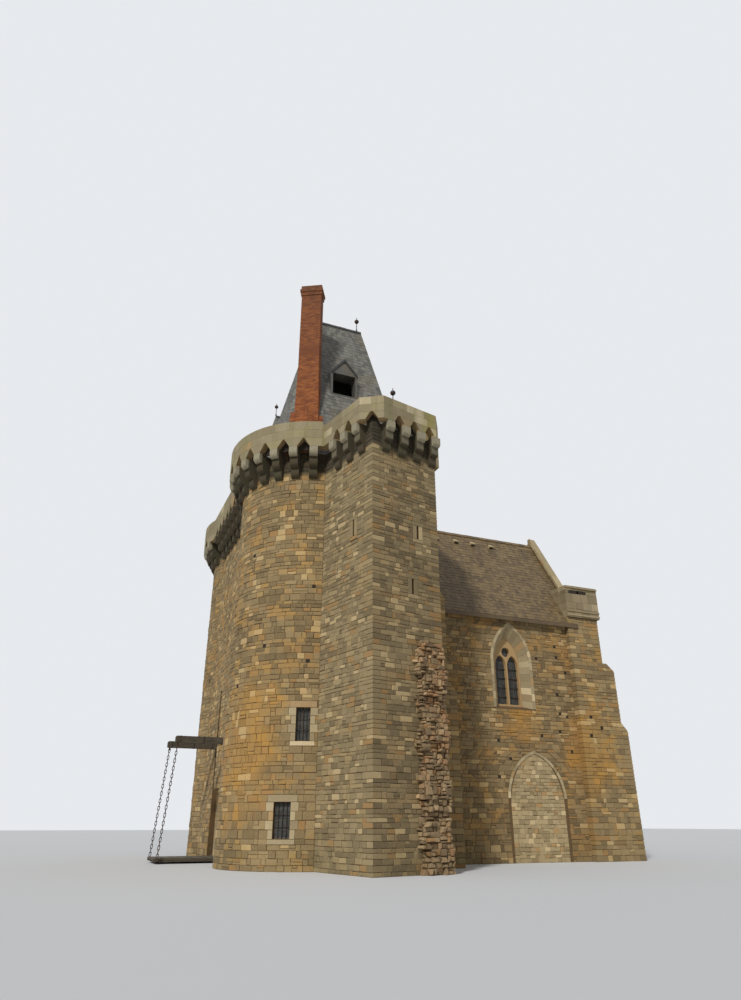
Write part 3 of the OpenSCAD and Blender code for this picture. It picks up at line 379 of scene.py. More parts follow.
class Finishes:
    """All materials of the keep."""

    def __init__(self, layout: "Layout") -> None:
        """Build each material once.

        Args:
            layout: Places of the keep, for the strong lichen.
        """
        near = layout.near
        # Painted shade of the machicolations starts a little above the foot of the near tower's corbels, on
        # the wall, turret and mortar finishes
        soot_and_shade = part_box("near_tower_corbels")[0].z + 0.1
        left = (near[0] - 3.0, near[1] - 1.9, 4.5, 2.6)
        rim = (layout.turret[0] + 3.0, layout.turret[1] + 0.8, 18.2, 1.6)
        pier = (near[0] + 14.3, layout.chapel_south - 0.4, 4.9, 2.2)
        sill = (near[0] + 10.6, layout.chapel_south, 6.5, 1.2)
        self.wall = StoneFinish(
            "wall_stone", (0.17, 0.115, 0.05), (0.50, 0.36, 0.17), (0.50, 0.26, 0.05), (0.13, 0.12, 0.045),
            0.8, painted_shade_z=soot_and_shade).build((left, pier, sill))
        # Chapel stone: a little darker than the wall stone, partly its own colour and partly painted shade,
        # with painted shade of the eaves from 1.4 m below the wall's top
        self.chapel = StoneFinish(
            "chapel_stone", (0.14, 0.092, 0.038), (0.45, 0.32, 0.15), (0.46, 0.23, 0.045),
            (0.12, 0.11, 0.042), 0.8, painted_shade_z=layout.chapel_top - 1.4, painted_shade_reach=1.5,
            painted_shade_amount=0.6).build((pier, sill))
        self.turret = StoneFinish(
            "turret_stone", (0.17, 0.125, 0.06), (0.50, 0.38, 0.20), (0.44, 0.28, 0.09), (0.15, 0.14, 0.06),
            0.8, lichen_amount=0.25, painted_shade_z=soot_and_shade).build()
        # A darker copy of the turret stone for the front and right faces: partly the stone's own colour,
        # partly painted shade of the faces turned from the light
        self.turret_front = StoneFinish(
            "turret_front_stone", (0.12, 0.085, 0.04), (0.43, 0.32, 0.16), (0.34, 0.19, 0.06),
            (0.10, 0.095, 0.04), 0.85, lichen_amount=0.3, painted_shade_z=soot_and_shade).build()
        self.filling = StoneFinish(
            "filling_stone", (0.28, 0.20, 0.095), (0.60, 0.46, 0.25), (0.50, 0.33, 0.12), (0.2, 0.17, 0.08),
            lichen_amount=0.2).build()
        self.mortar = StoneFinish(
            "lime_mortar", (0.06, 0.042, 0.02), (0.20, 0.145, 0.075), (0.18, 0.11, 0.04),
            (0.06, 0.055, 0.025), grain=0.012, painted_shade_z=soot_and_shade).build()
        self.ashlar = StoneFinish(
            "dressed_stone", (0.24, 0.19, 0.105), (0.52, 0.43, 0.27), (0.34, 0.28, 0.08), (0.20, 0.19, 0.07),
            tone_amount=0.6, lichen_amount=0.3, algae_amount=0.5, grain=0.003).build((rim,))
        self.weathered = StoneFinish(
            "pier_cap_stone", (0.17, 0.125, 0.065), (0.42, 0.33, 0.20), (0.30, 0.20, 0.08),
            (0.15, 0.14, 0.06), lichen_amount=0.3, algae_amount=0.5, grain=0.004, keep_top=13.4).build()
        self.pale = StoneFinish(
            "pale_stone", (0.28, 0.21, 0.11), (0.60, 0.48, 0.28), (0.40, 0.31, 0.12), (0.22, 0.2, 0.09),
            lichen_amount=0.2, grain=0.003).build()
        # Corbel stone: near-black, partly its own staining and partly painted shade; the near, far and turret
        # copies add a painted highlight on the corbels' outer ends in the pale lichen colour
        corbel = StoneFinish(
            "corbel_stone", (0.022, 0.02, 0.011), (0.095, 0.085, 0.052), (0.40, 0.35, 0.23),
            (0.05, 0.052, 0.022), lichen_amount=0.0, algae_amount=0.8, grain=0.004)
        self.corbel = corbel.build()
        self.near_corbel = corbel.build(pale=self._round_lit_noses(layout.near, layout))
        self.far_corbel = corbel.build(pale=self._round_lit_noses(layout.far, layout))
        self.turret_corbel = corbel.build(pale=self._square_lit_noses(layout))
        self.rubble = StoneFinish(
            "rubble_stone", (0.13, 0.082, 0.04), (0.50, 0.36, 0.19), (0.40, 0.18, 0.07), (0.14, 0.10, 0.045),
            lichen_amount=0.6, grain=0.012).build()
        self.dark = StoneFinish(
            "deep_shadow_stone", (0.012, 0.01, 0.007), (0.035, 0.028, 0.018), (0.03, 0.022, 0.012),
            (0.015, 0.014, 0.008)).build()
        self.slate = SlateFinish(
            "roof_slate", (0.06, 0.057, 0.048), (0.27, 0.255, 0.21), (0.19, 0.15, 0.09)).build()
        self.brown_slate = SlateFinish(
            "chapel_slate", (0.08, 0.052, 0.024), (0.28, 0.19, 0.085), (0.15, 0.10, 0.045), 0.5).build()
        self.brick = BrickFinish("old_brick").build()
        self.lime = StoneFinish(
            "brick_mortar", (0.14, 0.06, 0.022), (0.30, 0.16, 0.07), (0.22, 0.10, 0.035),
            (0.08, 0.055, 0.03)).build()
        self.wood = WoodFinish("weathered_oak").build()
        self.boards = WoodFinish("floor_boards", along=(1.0, 0.12, 1.0)).build()
        self.iron = MetalFinish("wrought_iron").build()
        self.lead = MetalFinish("roof_lead", (0.05, 0.05, 0.05), (0.12, 0.10, 0.07), 0.3, 0.7, 0.2).build()
        self.glass = GlassFinish("leaded_glass").build()

    @staticmethod
    def _round_lit_noses(centre: np.ndarray, layout: "Layout") -> Callable[[Shader], Sock]:
        """The outer ends of a round tower's corbels, which get a painted highlight."""
        def pale(s: Shader) -> Sock:
            """Painted highlight on the ends near the rim."""
            x, y = s.x - float(centre[0]), s.y - float(centre[1])
            rim = layout.radius + layout.overhang
            return ((x * x + y * y) ** 0.5).step(rim - 0.24, rim - 0.12)

        return pale

    @staticmethod
    def _square_lit_noses(layout: "Layout") -> Callable[[Shader], Sock]:
        """The outer ends of the turret's corbels, which get a painted highlight."""
        def pale(s: Shader) -> Sock:
            """Painted highlight on the ends near the edge of the turret's parapet."""
            cos, sin = math.cos(layout.turn), math.sin(layout.turn)
            x, y = s.x - float(layout.turret[0]), s.y - float(layout.turret[1])
            across, along = x * cos + y * sin - 1.7, y * cos - x * sin
            side = s.add("ShaderNodeMath", {"operation": "ABSOLUTE"}, {0: across})
            most = s.add("ShaderNodeMath", {"operation": "MAXIMUM"}, {0: side - 1.7, 1: along * -1.0})
            return most.step(0.3, 0.42)

        return pale


# Places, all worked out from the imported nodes

@dataclass(frozen=True)
class Layout:
    """Where the keep's main parts stand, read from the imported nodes' boxes."""

    near: np.ndarray
    far: np.ndarray
    radius: float
    overhang: float
    gate_x: float
    gate_y: float
    back_x: float
    turret: np.ndarray
    chapel_south: float
    chapel_north: float
    chapel_top: float
    gable_x: float
    turn: float = TURRET_TURN

    @classmethod
    def read(cls) -> "Layout":
        """Read the boxes."""
        low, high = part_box("near_tower_round_south")
        far_low, far_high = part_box("far_tower_round_north")
        near, far = np.array([high.x, high.y]), np.array([far_high.x, far_low.y])
        radius = high.x - low.x
        wall_low, wall_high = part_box("turret_front_wall")
        width, depth = wall_high.x - wall_low.x, wall_high.y - wall_low.y
        cos, sin = math.cos(TURRET_TURN), math.sin(TURRET_TURN)
        thick = (depth * cos - width * sin) / (cos * cos - sin * sin)
        return cls(near=near, far=far, radius=radius,
                   overhang=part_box("far_tower_parapet")[1].y - far[1] - radius,
                   gate_x=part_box("gate_upper_wall")[0].x,
                   gate_y=(near[1] + far[1]) / 2,
                   back_x=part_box("back_wall")[1].x,
                   turret=np.array([wall_low.x + thick * sin, wall_low.y]),
                   chapel_south=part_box("chapel_south_wall")[0].y,
                   chapel_north=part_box("chapel_north_wall")[1].y,
                   chapel_top=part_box("chapel_south_wall")[1].z,
                   gable_x=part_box("chapel_gable_wall")[1].x)


# Surfaces and what lies on them

class Surface:
    """A wall's face unrolled flat: u runs along it, v up it, w out of it."""

    def point(self, u: np.ndarray, v: np.ndarray, w: np.ndarray) -> np.ndarray:
        """Places in the frame of points on or over the surface."""
        raise NotImplementedError

    def at(self, u: float, v: float, w: float = 0.0) -> np.ndarray:
        """One place on or over the surface."""
        return self.point(np.array(u), np.array(v), np.array(w))

    def unroll(self, points: np.ndarray) -> np.ndarray:
        """Each point's u and v, and its distance from the surface."""
        raise NotImplementedError


@dataclass
class Plane(Surface):
    """A flat face."""

    origin: np.ndarray
    normal: np.ndarray
    along: np.ndarray = field(init=False)
    up: np.ndarray = field(init=False)

    def __post_init__(self) -> None:
        """Set the directions along and up the face."""
        side = np.cross(UP, self.normal)
        length = np.linalg.norm(side)
        self.along = side / length if length > 1e-6 else np.array([1.0, 0.0, 0.0])
        self.up = np.cross(self.normal, self.along)

    def point(self, u: np.ndarray, v: np.ndarray, w: np.ndarray) -> np.ndarray:
        """Places in the frame of points on or over the face."""
        return self.origin + u[..., None] * self.along + v[..., None] * self.up + w[..., None] * self.normal

    def unroll(self, points: np.ndarray) -> np.ndarray:
        """Each point's u, v and w."""
        rel = points - self.origin
        return np.stack([rel @ self.along, rel @ self.up, rel @ self.normal], axis=-1)


@dataclass
class Drum(Surface):
    """An upright round face, with u as the length of arc from the -X direction, counter-clockwise."""

    centre: np.ndarray
    radius: float

    def point(self, u: np.ndarray, v: np.ndarray, w: np.ndarray) -> np.ndarray:
        """Places in the frame of points on or over the drum."""
        turn = math.pi + u / self.radius
        reach = self.radius + w
        x, y = self.centre[0] + reach * np.cos(turn), self.centre[1] + reach * np.sin(turn)
        return np.stack([x, y, v], axis=-1)

    def unroll(self, points: np.ndarray) -> np.ndarray:
        """Each point's u, v and w."""
        rel = points[..., :2] - self.centre
        turn = np.arctan2(-rel[..., 1], -rel[..., 0])
        out = np.hypot(rel[..., 0], rel[..., 1]) - self.radius
        return np.stack([turn * self.radius, points[..., 2], out], axis=-1)


Spans = list[Pair]
Corners = Sequence[Pair]
# Says from a face's normal and middle whether it is wanted
FaceTest = Callable[[np.ndarray, np.ndarray], bool]


@dataclass(frozen=True)
class Gap:
    """A place on a surface that is left bare: a rectangle, or an arch where it has a rise."""

    # Least rise of a real arch
    FLAT: ClassVar[float] = 0.05

    low: float
    high: float
    foot: float
    spring: float
    rise: float = 0.0

    @property
    def top(self) -> float:
        """Highest v."""
        return self.spring + self.rise

    @property
    def centre(self) -> float:
        """Middle u."""
        return (self.low + self.high) / 2

    @property
    def half(self) -> float:
        """Half the width."""
        return (self.high - self.low) / 2

    @property
    def arc(self) -> float:
        """Radius of the two arcs of the head."""
        return (self.rise ** 2 + self.half ** 2) / (2 * self.half)

    def grown(self, width: float) -> "Gap":
        """The same shape grown outwards by a width, with its foot left where it is."""
        low, high = self.low - width, self.high + width
        if self.rise < self.FLAT:
            return Gap(low, high, self.foot, self.spring + width)
        arc = self.arc + width
        reach = self.arc - self.half
        return Gap(low, high, self.foot, self.spring, math.sqrt(max(arc ** 2 - reach ** 2, 0.0)))

    def at(self, v: float) -> Optional[Pair]:
        """The stretch of u that is bare at a height."""
        if not self.foot < v < self.top:
            return None
        if v <= self.spring or self.rise < self.FLAT:
            return self.low, self.high
        half = math.sqrt(max(self.arc ** 2 - (v - self.spring) ** 2, 0.0)) - self.arc + self.half
        return self.centre - half, self.centre + half

    def head(self, count: int, grow: float = 0.0) -> list[Pair]:
        """Points along the head from its left spring over the top to its right one."""
        arc, reach = self.arc + grow, self.arc - self.half
        end = math.acos(max(-1.0, min(1.0, reach / arc)))
        turns = [end * i / count for i in range(count + 1)]
        left = [(self.centre + reach - arc * math.cos(a), self.spring + arc * math.sin(a)) for a in turns]
        right = [(2 * self.centre - u, v) for u, v in reversed(left[:-1])]
        return left + right


class Region:
    """The part of a surface that a node really has, with its holes, as triangles in u and v."""

    # Distance between the heights at which openings are looked for
    STEP = 0.04
    # Least height of an opening
    LEAST_OPENING = 0.25
    # Least change of width that ends a course
    LEAST_BREAK = 0.35

    def __init__(self, surface: Surface, triangles: np.ndarray, clip: Pair = ENDLESS) -> None:
        """Keep the triangles.

        Args:
            surface: The surface they lie on.
            triangles: Their corners, as an array of n by 3 by 2.
            clip: Lowest and highest u to use.
        """
        self.surface = surface
        self.triangles = triangles
        self.clip = clip
        self.gaps: list[Gap] = []
        self.low = float(triangles[:, :, 1].min())
        self.high = float(triangles[:, :, 1].max())

    def u_at(self, x: float, y: float) -> float:
        """The u of a place in the frame."""
        return float(self.surface.unroll(np.array([x, y, 0.0]))[0])

    def spans(self, v: float) -> Spans:
        """The stretches of u that the region covers at a height."""
        tri = self.triangles
        hit = tri[(tri[:, :, 1].min(1) < v) & (tri[:, :, 1].max(1) > v)]
        pieces = []
        for corners in hit:
            us = []
            for i in range(3):
                (u0, v0), (u1, v1) = corners[i], corners[(i + 1) % 3]
                if (v0 < v) != (v1 < v):
                    us.append(u0 + (v - v0) / (v1 - v0) * (u1 - u0))
            if len(us) == 2:
                pieces.append((min(us), max(us)))
        merged: Spans = []
        for low, high in sorted(pieces):
            low, high = max(low, self.clip[0]), min(high, self.clip[1])
            if high <= low:
                continue
            if merged and low <= merged[-1][1] + 0.006:
                merged[-1] = (merged[-1][0], max(merged[-1][1], high))
            else:
                merged.append((low, high))
        for gap in self.gaps:
            bare = gap.at(v)
            if bare:
                merged = [part for a, b in merged for part in ((a, min(b, bare[0])), (max(a, bare[1]), b))
                          if part[1] - part[0] > 0.02]
        return merged

    def _levels(self) -> np.ndarray:
        """The heights of all corners."""
        return np.unique(np.round(self.triangles[:, :, 1], 3))

    def openings(self, widest: float = 3.3) -> list[Gap]:
        """The windows, slits and arches that the region has, from the gaps between its spans.

        Args:
            widest: Widest gap that still is an opening.

        Returns:
            The openings, from their feet up.
        """
        found: list[list[tuple[float, float, float]]] = []
        for v in np.arange(self.low + self.STEP / 2, self.high, self.STEP):
            spans = self.spans(float(v))
            for (_, low), (high, _) in zip(spans, spans[1:]):
                if high - low > widest:
                    continue
                centre = (low + high) / 2
                for track in found:
                    last = track[-1]
                    same = abs((last[1] + last[2]) / 2 - centre) < 0.03 and v - last[0] < 1.6 * self.STEP
                    if same and high - low < last[2] - last[1] + 0.02:
                        track.append((float(v), low, high))
                        break
                else:
                    found.append([(float(v), low, high)])
        levels = self._levels()
        made = []
        for track in found:
            if track[-1][0] - track[0][0] < self.LEAST_OPENING:
                continue
            _, low, high = track[0]
            straight = [t for t in track if t[2] - t[1] > (high - low) * 0.985]
            half = self.STEP / 2
            ends = (track[0][0] - half, straight[-1][0] + half, track[-1][0] + half)
            foot, spring, top = (float(levels[np.abs(levels - v).argmin()]) for v in ends)
            made.append(Gap(low, high, foot, spring, top - spring if top - spring > 0.1 else 0.0))
        return made

    def breaks(self) -> list[float]:
        """Heights at which a sill, a head or a ledge begins or ends."""
        found = [self.low, self.high]
        for level in self._levels()[1:-1]:
            below = sum(b - a for a, b in self.spans(level - 0.004))
            above = sum(b - a for a, b in self.spans(level + 0.004))
            if abs(above - below) > self.LEAST_BREAK:
                found.append(float(level))
        for gap in self.gaps:
            found += [gap.foot, gap.spring] + ([] if gap.rise else [gap.top])
        return sorted({round(v, 3) for v in found if self.low - 0.001 <= v <= self.high + 0.001})


def node_triangles(nodes: Iterable[str]) -> np.ndarray:
    """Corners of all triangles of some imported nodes, as an array of n by 3 by 3."""
    parts = []
    for name in nodes:
        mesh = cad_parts[name].data
        mesh.calc_loop_triangles()
        co = np.zeros(len(mesh.vertices) * 3)
        mesh.vertices.foreach_get("co", co)
        index = np.zeros(len(mesh.loop_triangles) * 3, dtype=int)
        mesh.loop_triangles.foreach_get("vertices", index)
        parts.append(co.reshape(-1, 3)[index].reshape(-1, 3, 3))
    return np.concatenate(parts)


def plane_regions(nodes: Iterable[str], wanted: FaceTest, least: float = 0.4) -> list[Region]:
    """Find the flat faces of some nodes.

    Args:
        nodes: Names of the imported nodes.
        wanted: Says from a face's normal and middle whether it is wanted.
        least: Smallest area in square metres.

    Returns:
        One region for each flat face, which may lie on several nodes.
    """
    tri = node_triangles(nodes)
    cross = np.cross(tri[:, 1] - tri[:, 0], tri[:, 2] - tri[:, 0])
    area = np.linalg.norm(cross, axis=1) / 2
    tri, cross, area = tri[area > 1e-7], cross[area > 1e-7], area[area > 1e-7]
    normal = cross / (2 * area[:, None])
    offset = np.einsum("ij,ij->i", normal, tri[:, 0])
    free = np.ones(len(tri), dtype=bool)
    regions = []
    for seed in np.argsort(-area):
        if not free[seed]:
            continue
        chosen = free & (normal @ normal[seed] > 0.99995)
        chosen &= np.abs(tri @ normal[seed] - offset[seed]).max(1) < ON_FACE
        free &= ~chosen
        if area[chosen].sum() < least:
            continue
        middle = (tri[chosen].mean(1) * area[chosen, None]).sum(0) / area[chosen].sum()
        if not wanted(normal[seed], middle):
            continue
        plane = Plane(normal[seed] * float(offset[seed]), normal[seed])
        regions.append(Region(plane, plane.unroll(tri[chosen])[:, :, :2]))
    return regions


def drum_region(nodes: Iterable[str], drum: Drum, clip: Pair) -> Region:
    """The part of some nodes that lies on a round face."""
    tri = node_triangles(nodes)
    flat = drum.unroll(tri)
    on = np.all(np.abs(flat[:, :, 2]) < ON_FACE, axis=1)
    turned = np.ptp(flat[:, :, 0], axis=1) < 2.0
    return Region(drum, flat[on & turned][:, :, :2], clip)


@dataclass
class Blocks:
    """Stones to be laid: the corners of each in u and v, how far it stands out, and its tone."""

    quads: list[np.ndarray] = field(default_factory=list)
    out: list[float] = field(default_factory=list)
    tone: list[float] = field(default_factory=list)
    mitre: list[Pair] = field(default_factory=list)

    def lay(self, corners: Corners, out: float, tone: float,
            mitre: Pair = (0.0, 0.0)) -> None:
        """Add one block.

        Args:
            corners: Bottom left, bottom right, top right and top left.
            out: How far its face stands out.
            tone: Its shade, from 0 to 1.
            mitre: How far its left and right ends lean out, as shares of the depth.
        """
        self.quads.append(np.array(corners))
        self.out.append(out)
        self.tone.append(tone)
        self.mitre.append(mitre)

    def curved(self, radius: float) -> "Blocks":
        """The same blocks for a round face: wide ones are made of narrow parts that meet without a joint."""
        seam = 1e-5
        made = Blocks()
        for quad, out, tone in zip(self.quads, self.out, self.tone):
            widest = math.sqrt(2 * radius * max(out, 0.005))
            count = max(1, math.ceil((quad[1, 0] - quad[0, 0]) / widest))
            for k in range(count):
                a, b = k / count, (k + 1) / count
                low, top = (quad[0], quad[1] - quad[0]), (quad[3], quad[2] - quad[3])
                corners = [low[0] + low[1] * a, low[0] + low[1] * b, top[0] + top[1] * b, top[0] + top[1] * a]
                made.lay(corners, out, tone, (seam if k else 0.0, seam if k < count - 1 else 0.0))
        return made


class Mode:
    """Short helpers for modelling by operators."""

    @staticmethod
    def clear() -> None:
        """Deselect everything."""
        if bpy.context.object and bpy.context.object.mode != "OBJECT":
            bpy.ops.object.mode_set(mode="OBJECT")
        bpy.ops.object.select_all(action="DESELECT")

    @staticmethod
    def cube(name: str, size: Colour, middle: Colour = (0.0, 0.0, 0.0)) -> bpy.types.Object:
        """Add a box of a given size with its place in its mesh."""
        Mode.clear()
        bpy.ops.mesh.primitive_cube_add(size=1.0, location=middle)
        piece = bpy.context.object
        piece.name = name
        piece.scale = size
        bpy.ops.object.transform_apply(location=True, rotation=True, scale=True)
        return piece

    @staticmethod
    def pick(piece: bpy.types.Object, faces: Optional[Callable[[bmesh.types.BMFace], bool]] = None,
             edges: Optional[Callable[[bmesh.types.BMEdge], bool]] = None) -> None:
        """Select faces or edges in edit mode by their place."""
        bpy.context.view_layer.objects.active = piece
        piece.select_set(True)
        if piece.mode != "EDIT":
            bpy.ops.object.mode_set(mode="EDIT")
        kind = "FACE" if faces else "EDGE"
        bpy.ops.mesh.select_mode(type=kind)
        bpy.ops.mesh.select_all(action="DESELECT")
        mesh = bmesh.from_edit_mesh(piece.data)
        for item in (mesh.faces if faces else mesh.edges):
            if (faces or edges)(item):
                item.select = True
        mesh.select_flush_mode()
        bmesh.update_edit_mesh(piece.data)


class Template:
    """A block modelled once. Its width is X, its height Z, and its face looks along -Y."""

    SIZE = 1.0
    MARGIN = 0.2
    # Depth behind the wall's face
    BACK = 0.25
    # How far the corners of rough stones stray in metres
    STRAY = 0.007

    def __init__(self, piece: bpy.types.Object, uneven: float = 0.0) -> None:
        """Take a modelled block's mesh and remove the object.

        Args:
            piece: The modelled block.
            uneven: How far its corners stray along the wall in metres.
        """
        Mode.clear()
        self.uneven = uneven
        mesh = piece.data
        co = np.zeros(len(mesh.vertices) * 3)
        mesh.vertices.foreach_get("co", co)
        co = co.reshape(-1, 3)
        self.faces = [tuple(p.vertices) for p in mesh.polygons]
        half = self.SIZE / 2
        self.side = np.where(np.abs(co[:, 0]) > half - self.MARGIN, np.sign(co[:, 0]), 0)
        self.edge_u = half - np.abs(co[:, 0])
        self.level = np.where(np.abs(co[:, 2]) > half - self.MARGIN, np.sign(co[:, 2]), 0)
        self.edge_v = half - np.abs(co[:, 2])
        self.share = (co[:, 0] + half, co[:, 2] + half)
        self.depth = -co[:, 1]
        bpy.data.objects.remove(piece)

    @classmethod
    def _start(cls, depth: float) -> bpy.types.Object:
        """A box from a little behind the wall's face to a given depth."""
        size, middle = (cls.SIZE, depth + cls.BACK, cls.SIZE), (0.0, (cls.BACK - depth) / 2, 0.0)
        return Mode.cube("template", size, middle)

    @staticmethod
    def _set_in(depth: float, share: float) -> None:
        """Extrude the picked face outwards and make its new end smaller."""
        bpy.ops.mesh.extrude_region_move(TRANSFORM_OT_translate={"value": (0.0, -depth, 0.0)})
        bpy.ops.transform.resize(value=(share, 1.0, share))

    @classmethod
    def rough(cls) -> "Template":
        """A rough walling stone: its face is set in twice, so that its edges are rounded."""
        piece = cls._start(0.62)
        Mode.pick(piece, faces=lambda f: f.normal.y < -0.5)
        cls._set_in(0.26, 0.982)
        cls._set_in(0.12, 0.955)
        bpy.ops.object.mode_set(mode="OBJECT")
        return cls(piece, cls.STRAY)

    @classmethod
    def dressed(cls) -> "Template":
        """A dressed stone or brick with a small chamfer round its face."""
        piece = cls._start(0.8)
        Mode.pick(piece, faces=lambda f: f.normal.y < -0.5)
        cls._set_in(0.2, 0.984)
        bpy.ops.object.mode_set(mode="OBJECT")
        return cls(piece)

    @classmethod
    def slate(cls) -> "Template":
        """A slate: thick at its lower edge and thin where the next row covers it."""
        piece = cls._start(1.0)
        Mode.pick(piece, edges=lambda e: all(v.co.y < 0 and v.co.z > 0 for v in e.verts))
        bpy.ops.transform.translate(value=(0.0, 0.72, 0.0))
        bpy.ops.object.mode_set(mode="OBJECT")
        return cls(piece)

    def spread(self, surface: Surface, blocks: Blocks, seed: int,
               wobble: float) -> tuple[np.ndarray, np.ndarray]:
        """Copy the template onto every block's place.

        Args:
            surface: The surface that the blocks lie on.
            blocks: The blocks.
            seed: Seed of the small irregularities.
            wobble: How far a face may lean, as a share of its depth.

        Returns:
            All vertices, block after block, and the tone of each.
        """
        rng = np.random.default_rng(seed)
        quads = np.array(blocks.quads)
        out = np.array(blocks.out)[:, None]
        mitre = np.array(blocks.mitre)
        width = np.linalg.norm(quads[:, 1] - quads[:, 0] + quads[:, 2] - quads[:, 3], axis=1)[:, None] / 2
        height = np.linalg.norm(quads[:, 3] - quads[:, 0] + quads[:, 2] - quads[:, 1], axis=1)[:, None] / 2
        cut = np.where(self.side < 0, (mitre[:, :1] == 0), (mitre[:, 1:] == 0))
        near_u = np.minimum(self.edge_u * cut / width, 0.4)
        near_v = np.minimum(self.edge_v / height, 0.4)
        s = np.where(self.side < 0, near_u, np.where(self.side > 0, 1 - near_u, self.share[0]))
        t = np.where(self.level < 0, near_v, np.where(self.level > 0, 1 - near_v, self.share[1]))
        low = quads[:, None, 0] * (1 - s)[..., None] + quads[:, None, 1] * s[..., None]
        top = quads[:, None, 3] * (1 - s)[..., None] + quads[:, None, 2] * s[..., None]
        uv = low * (1 - t)[..., None] + top * t[..., None]
        lean = rng.uniform(-wobble, wobble, (len(quads), 2))
        depth = np.where(self.depth > 0, self.depth * out, self.depth * 0.05)
        tilt = 1 + lean[:, :1] * (s - 0.5) * 2 + lean[:, 1:] * (t - 0.5) * 2
        mitred = np.any(mitre != 0, axis=1)[:, None]
        w = np.where((self.depth > 0) & ~mitred, depth * tilt, depth)
        shift = np.where((self.side < 0) & (mitre[:, :1] != 0), -w * mitre[:, :1], 0)
        shift += np.where((self.side > 0) & (mitre[:, 1:] != 0), w * mitre[:, 1:], 0)
        stray = np.clip(rng.normal(0.0, 1.0, uv.shape), -1.6, 1.6) * self.uneven * ~mitred[..., None]
        uv = uv + stray
        places = surface.point(uv[..., 0] + shift, uv[..., 1], w)
        places[..., 2] = np.maximum(places[..., 2], 0.002)
        tone = np.repeat(np.array(blocks.tone), len(self.side))
        return places.reshape(-1, 3), tone


class Patchwork:
    """Many copies of templates joined in one mesh."""

    def __init__(self) -> None:
        """Start empty."""
        self.vertices: list[np.ndarray] = []
        self.tones: list[np.ndarray] = []
        self.faces: list[tuple[int, ...]] = []
        self.count = 0

    def add(self, template: Template, surface: Surface, blocks: Blocks, seed: int,
            wobble: float = 0.25) -> None:
        """Add blocks on one surface."""
        if not blocks.quads:
            return
        if isinstance(surface, Drum):
            blocks = blocks.curved(surface.radius)
        places, tone = template.spread(surface, blocks, seed, wobble)
        per = len(template.side)
        for i in range(len(blocks.quads)):
            base = self.count + i * per
            self.faces.extend(tuple(base + k for k in face) for face in template.faces)
        self.vertices.append(places)
        self.tones.append(tone)
        self.count += len(places)

    def one(self, template: Template, surface: Surface, corners: Corners, out: float, tone: float,
            seed: int) -> None:
        """Add a single block, which doesn't lean."""
        blocks = Blocks()
        blocks.lay(corners, out, tone)
        self.add(template, surface, blocks, seed, 0.0)

    def build(self, name: str, material: bpy.types.Material, body: Body = Body.KEEP,
              slot: str = "stone") -> Optional[bpy.types.Object]:
        """Make the joined mesh.

        Args:
            name: The piece's name.
            material: Its material.
            body: The body it rides on.
            slot: Not used.

        Returns:
            The piece, or None where there was nothing to join.
        """
        if not self.vertices:
            LOG.warning("%s is empty", name)
            return None
        mesh = bpy.data.meshes.new(name)
        mesh.from_pydata(np.concatenate(self.vertices).tolist(), [], self.faces)
        layer = mesh.attributes.new("tone", "FLOAT", "POINT")
        layer.data.foreach_set("value", np.concatenate(self.tones).astype(np.float32))
        piece = bpy.data.objects.new(name, mesh)
        bpy.context.scene.collection.objects.link(piece)
        dress(piece, material, body, slot)
        return piece


def dress(piece: bpy.types.Object, material: bpy.types.Material, body: Body, slot: str) -> None:
    """Give a new piece its material and body, and report it."""
    piece.data.materials.clear()
    piece.data.materials.append(material)
    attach(piece, body.value)
    LOG.info("%s: %d faces on %s", piece.name, len(piece.data.polygons), body.value)


@dataclass(frozen=True)
class Coursing:
    """How stones, slates or bricks are laid in rows."""

    height: float
    length: float
    gap: float
    out: Pair
    height_spread: float = 0.25
    length_spread: float = 0.45
    jitter: float = 0.006
    quoin: Pair = (0.62, 0.34)
    split: float = 0.08
    bond: float = 0.0

    def rows(self, levels: Sequence[float], rng: random.Random) -> list[Pair]:
        """Courses between the given levels.

        Args:
            levels: Heights that a course ends on.
            rng: Source of the irregular heights.

        Returns:
            Foot and top of each course.
        """
        rows = []
        for foot, top in zip(levels, levels[1:]):
            if top - foot < self.height * 0.35:
                if rows and top - rows[-1][0] < self.height * 1.8:
                    rows[-1] = (rows[-1][0], top)
                else:
                    rows.append((foot, top))
                continue
            count = max(1, round((top - foot) / self.height))
            weights = [1 + rng.uniform(-self.height_spread, self.height_spread) for _ in range(count)]
            total = sum(weights)
            low = foot
            for weight in weights:
                high = low + weight / total * (top - foot)
                rows.append((low, high))
                low = high
        return rows


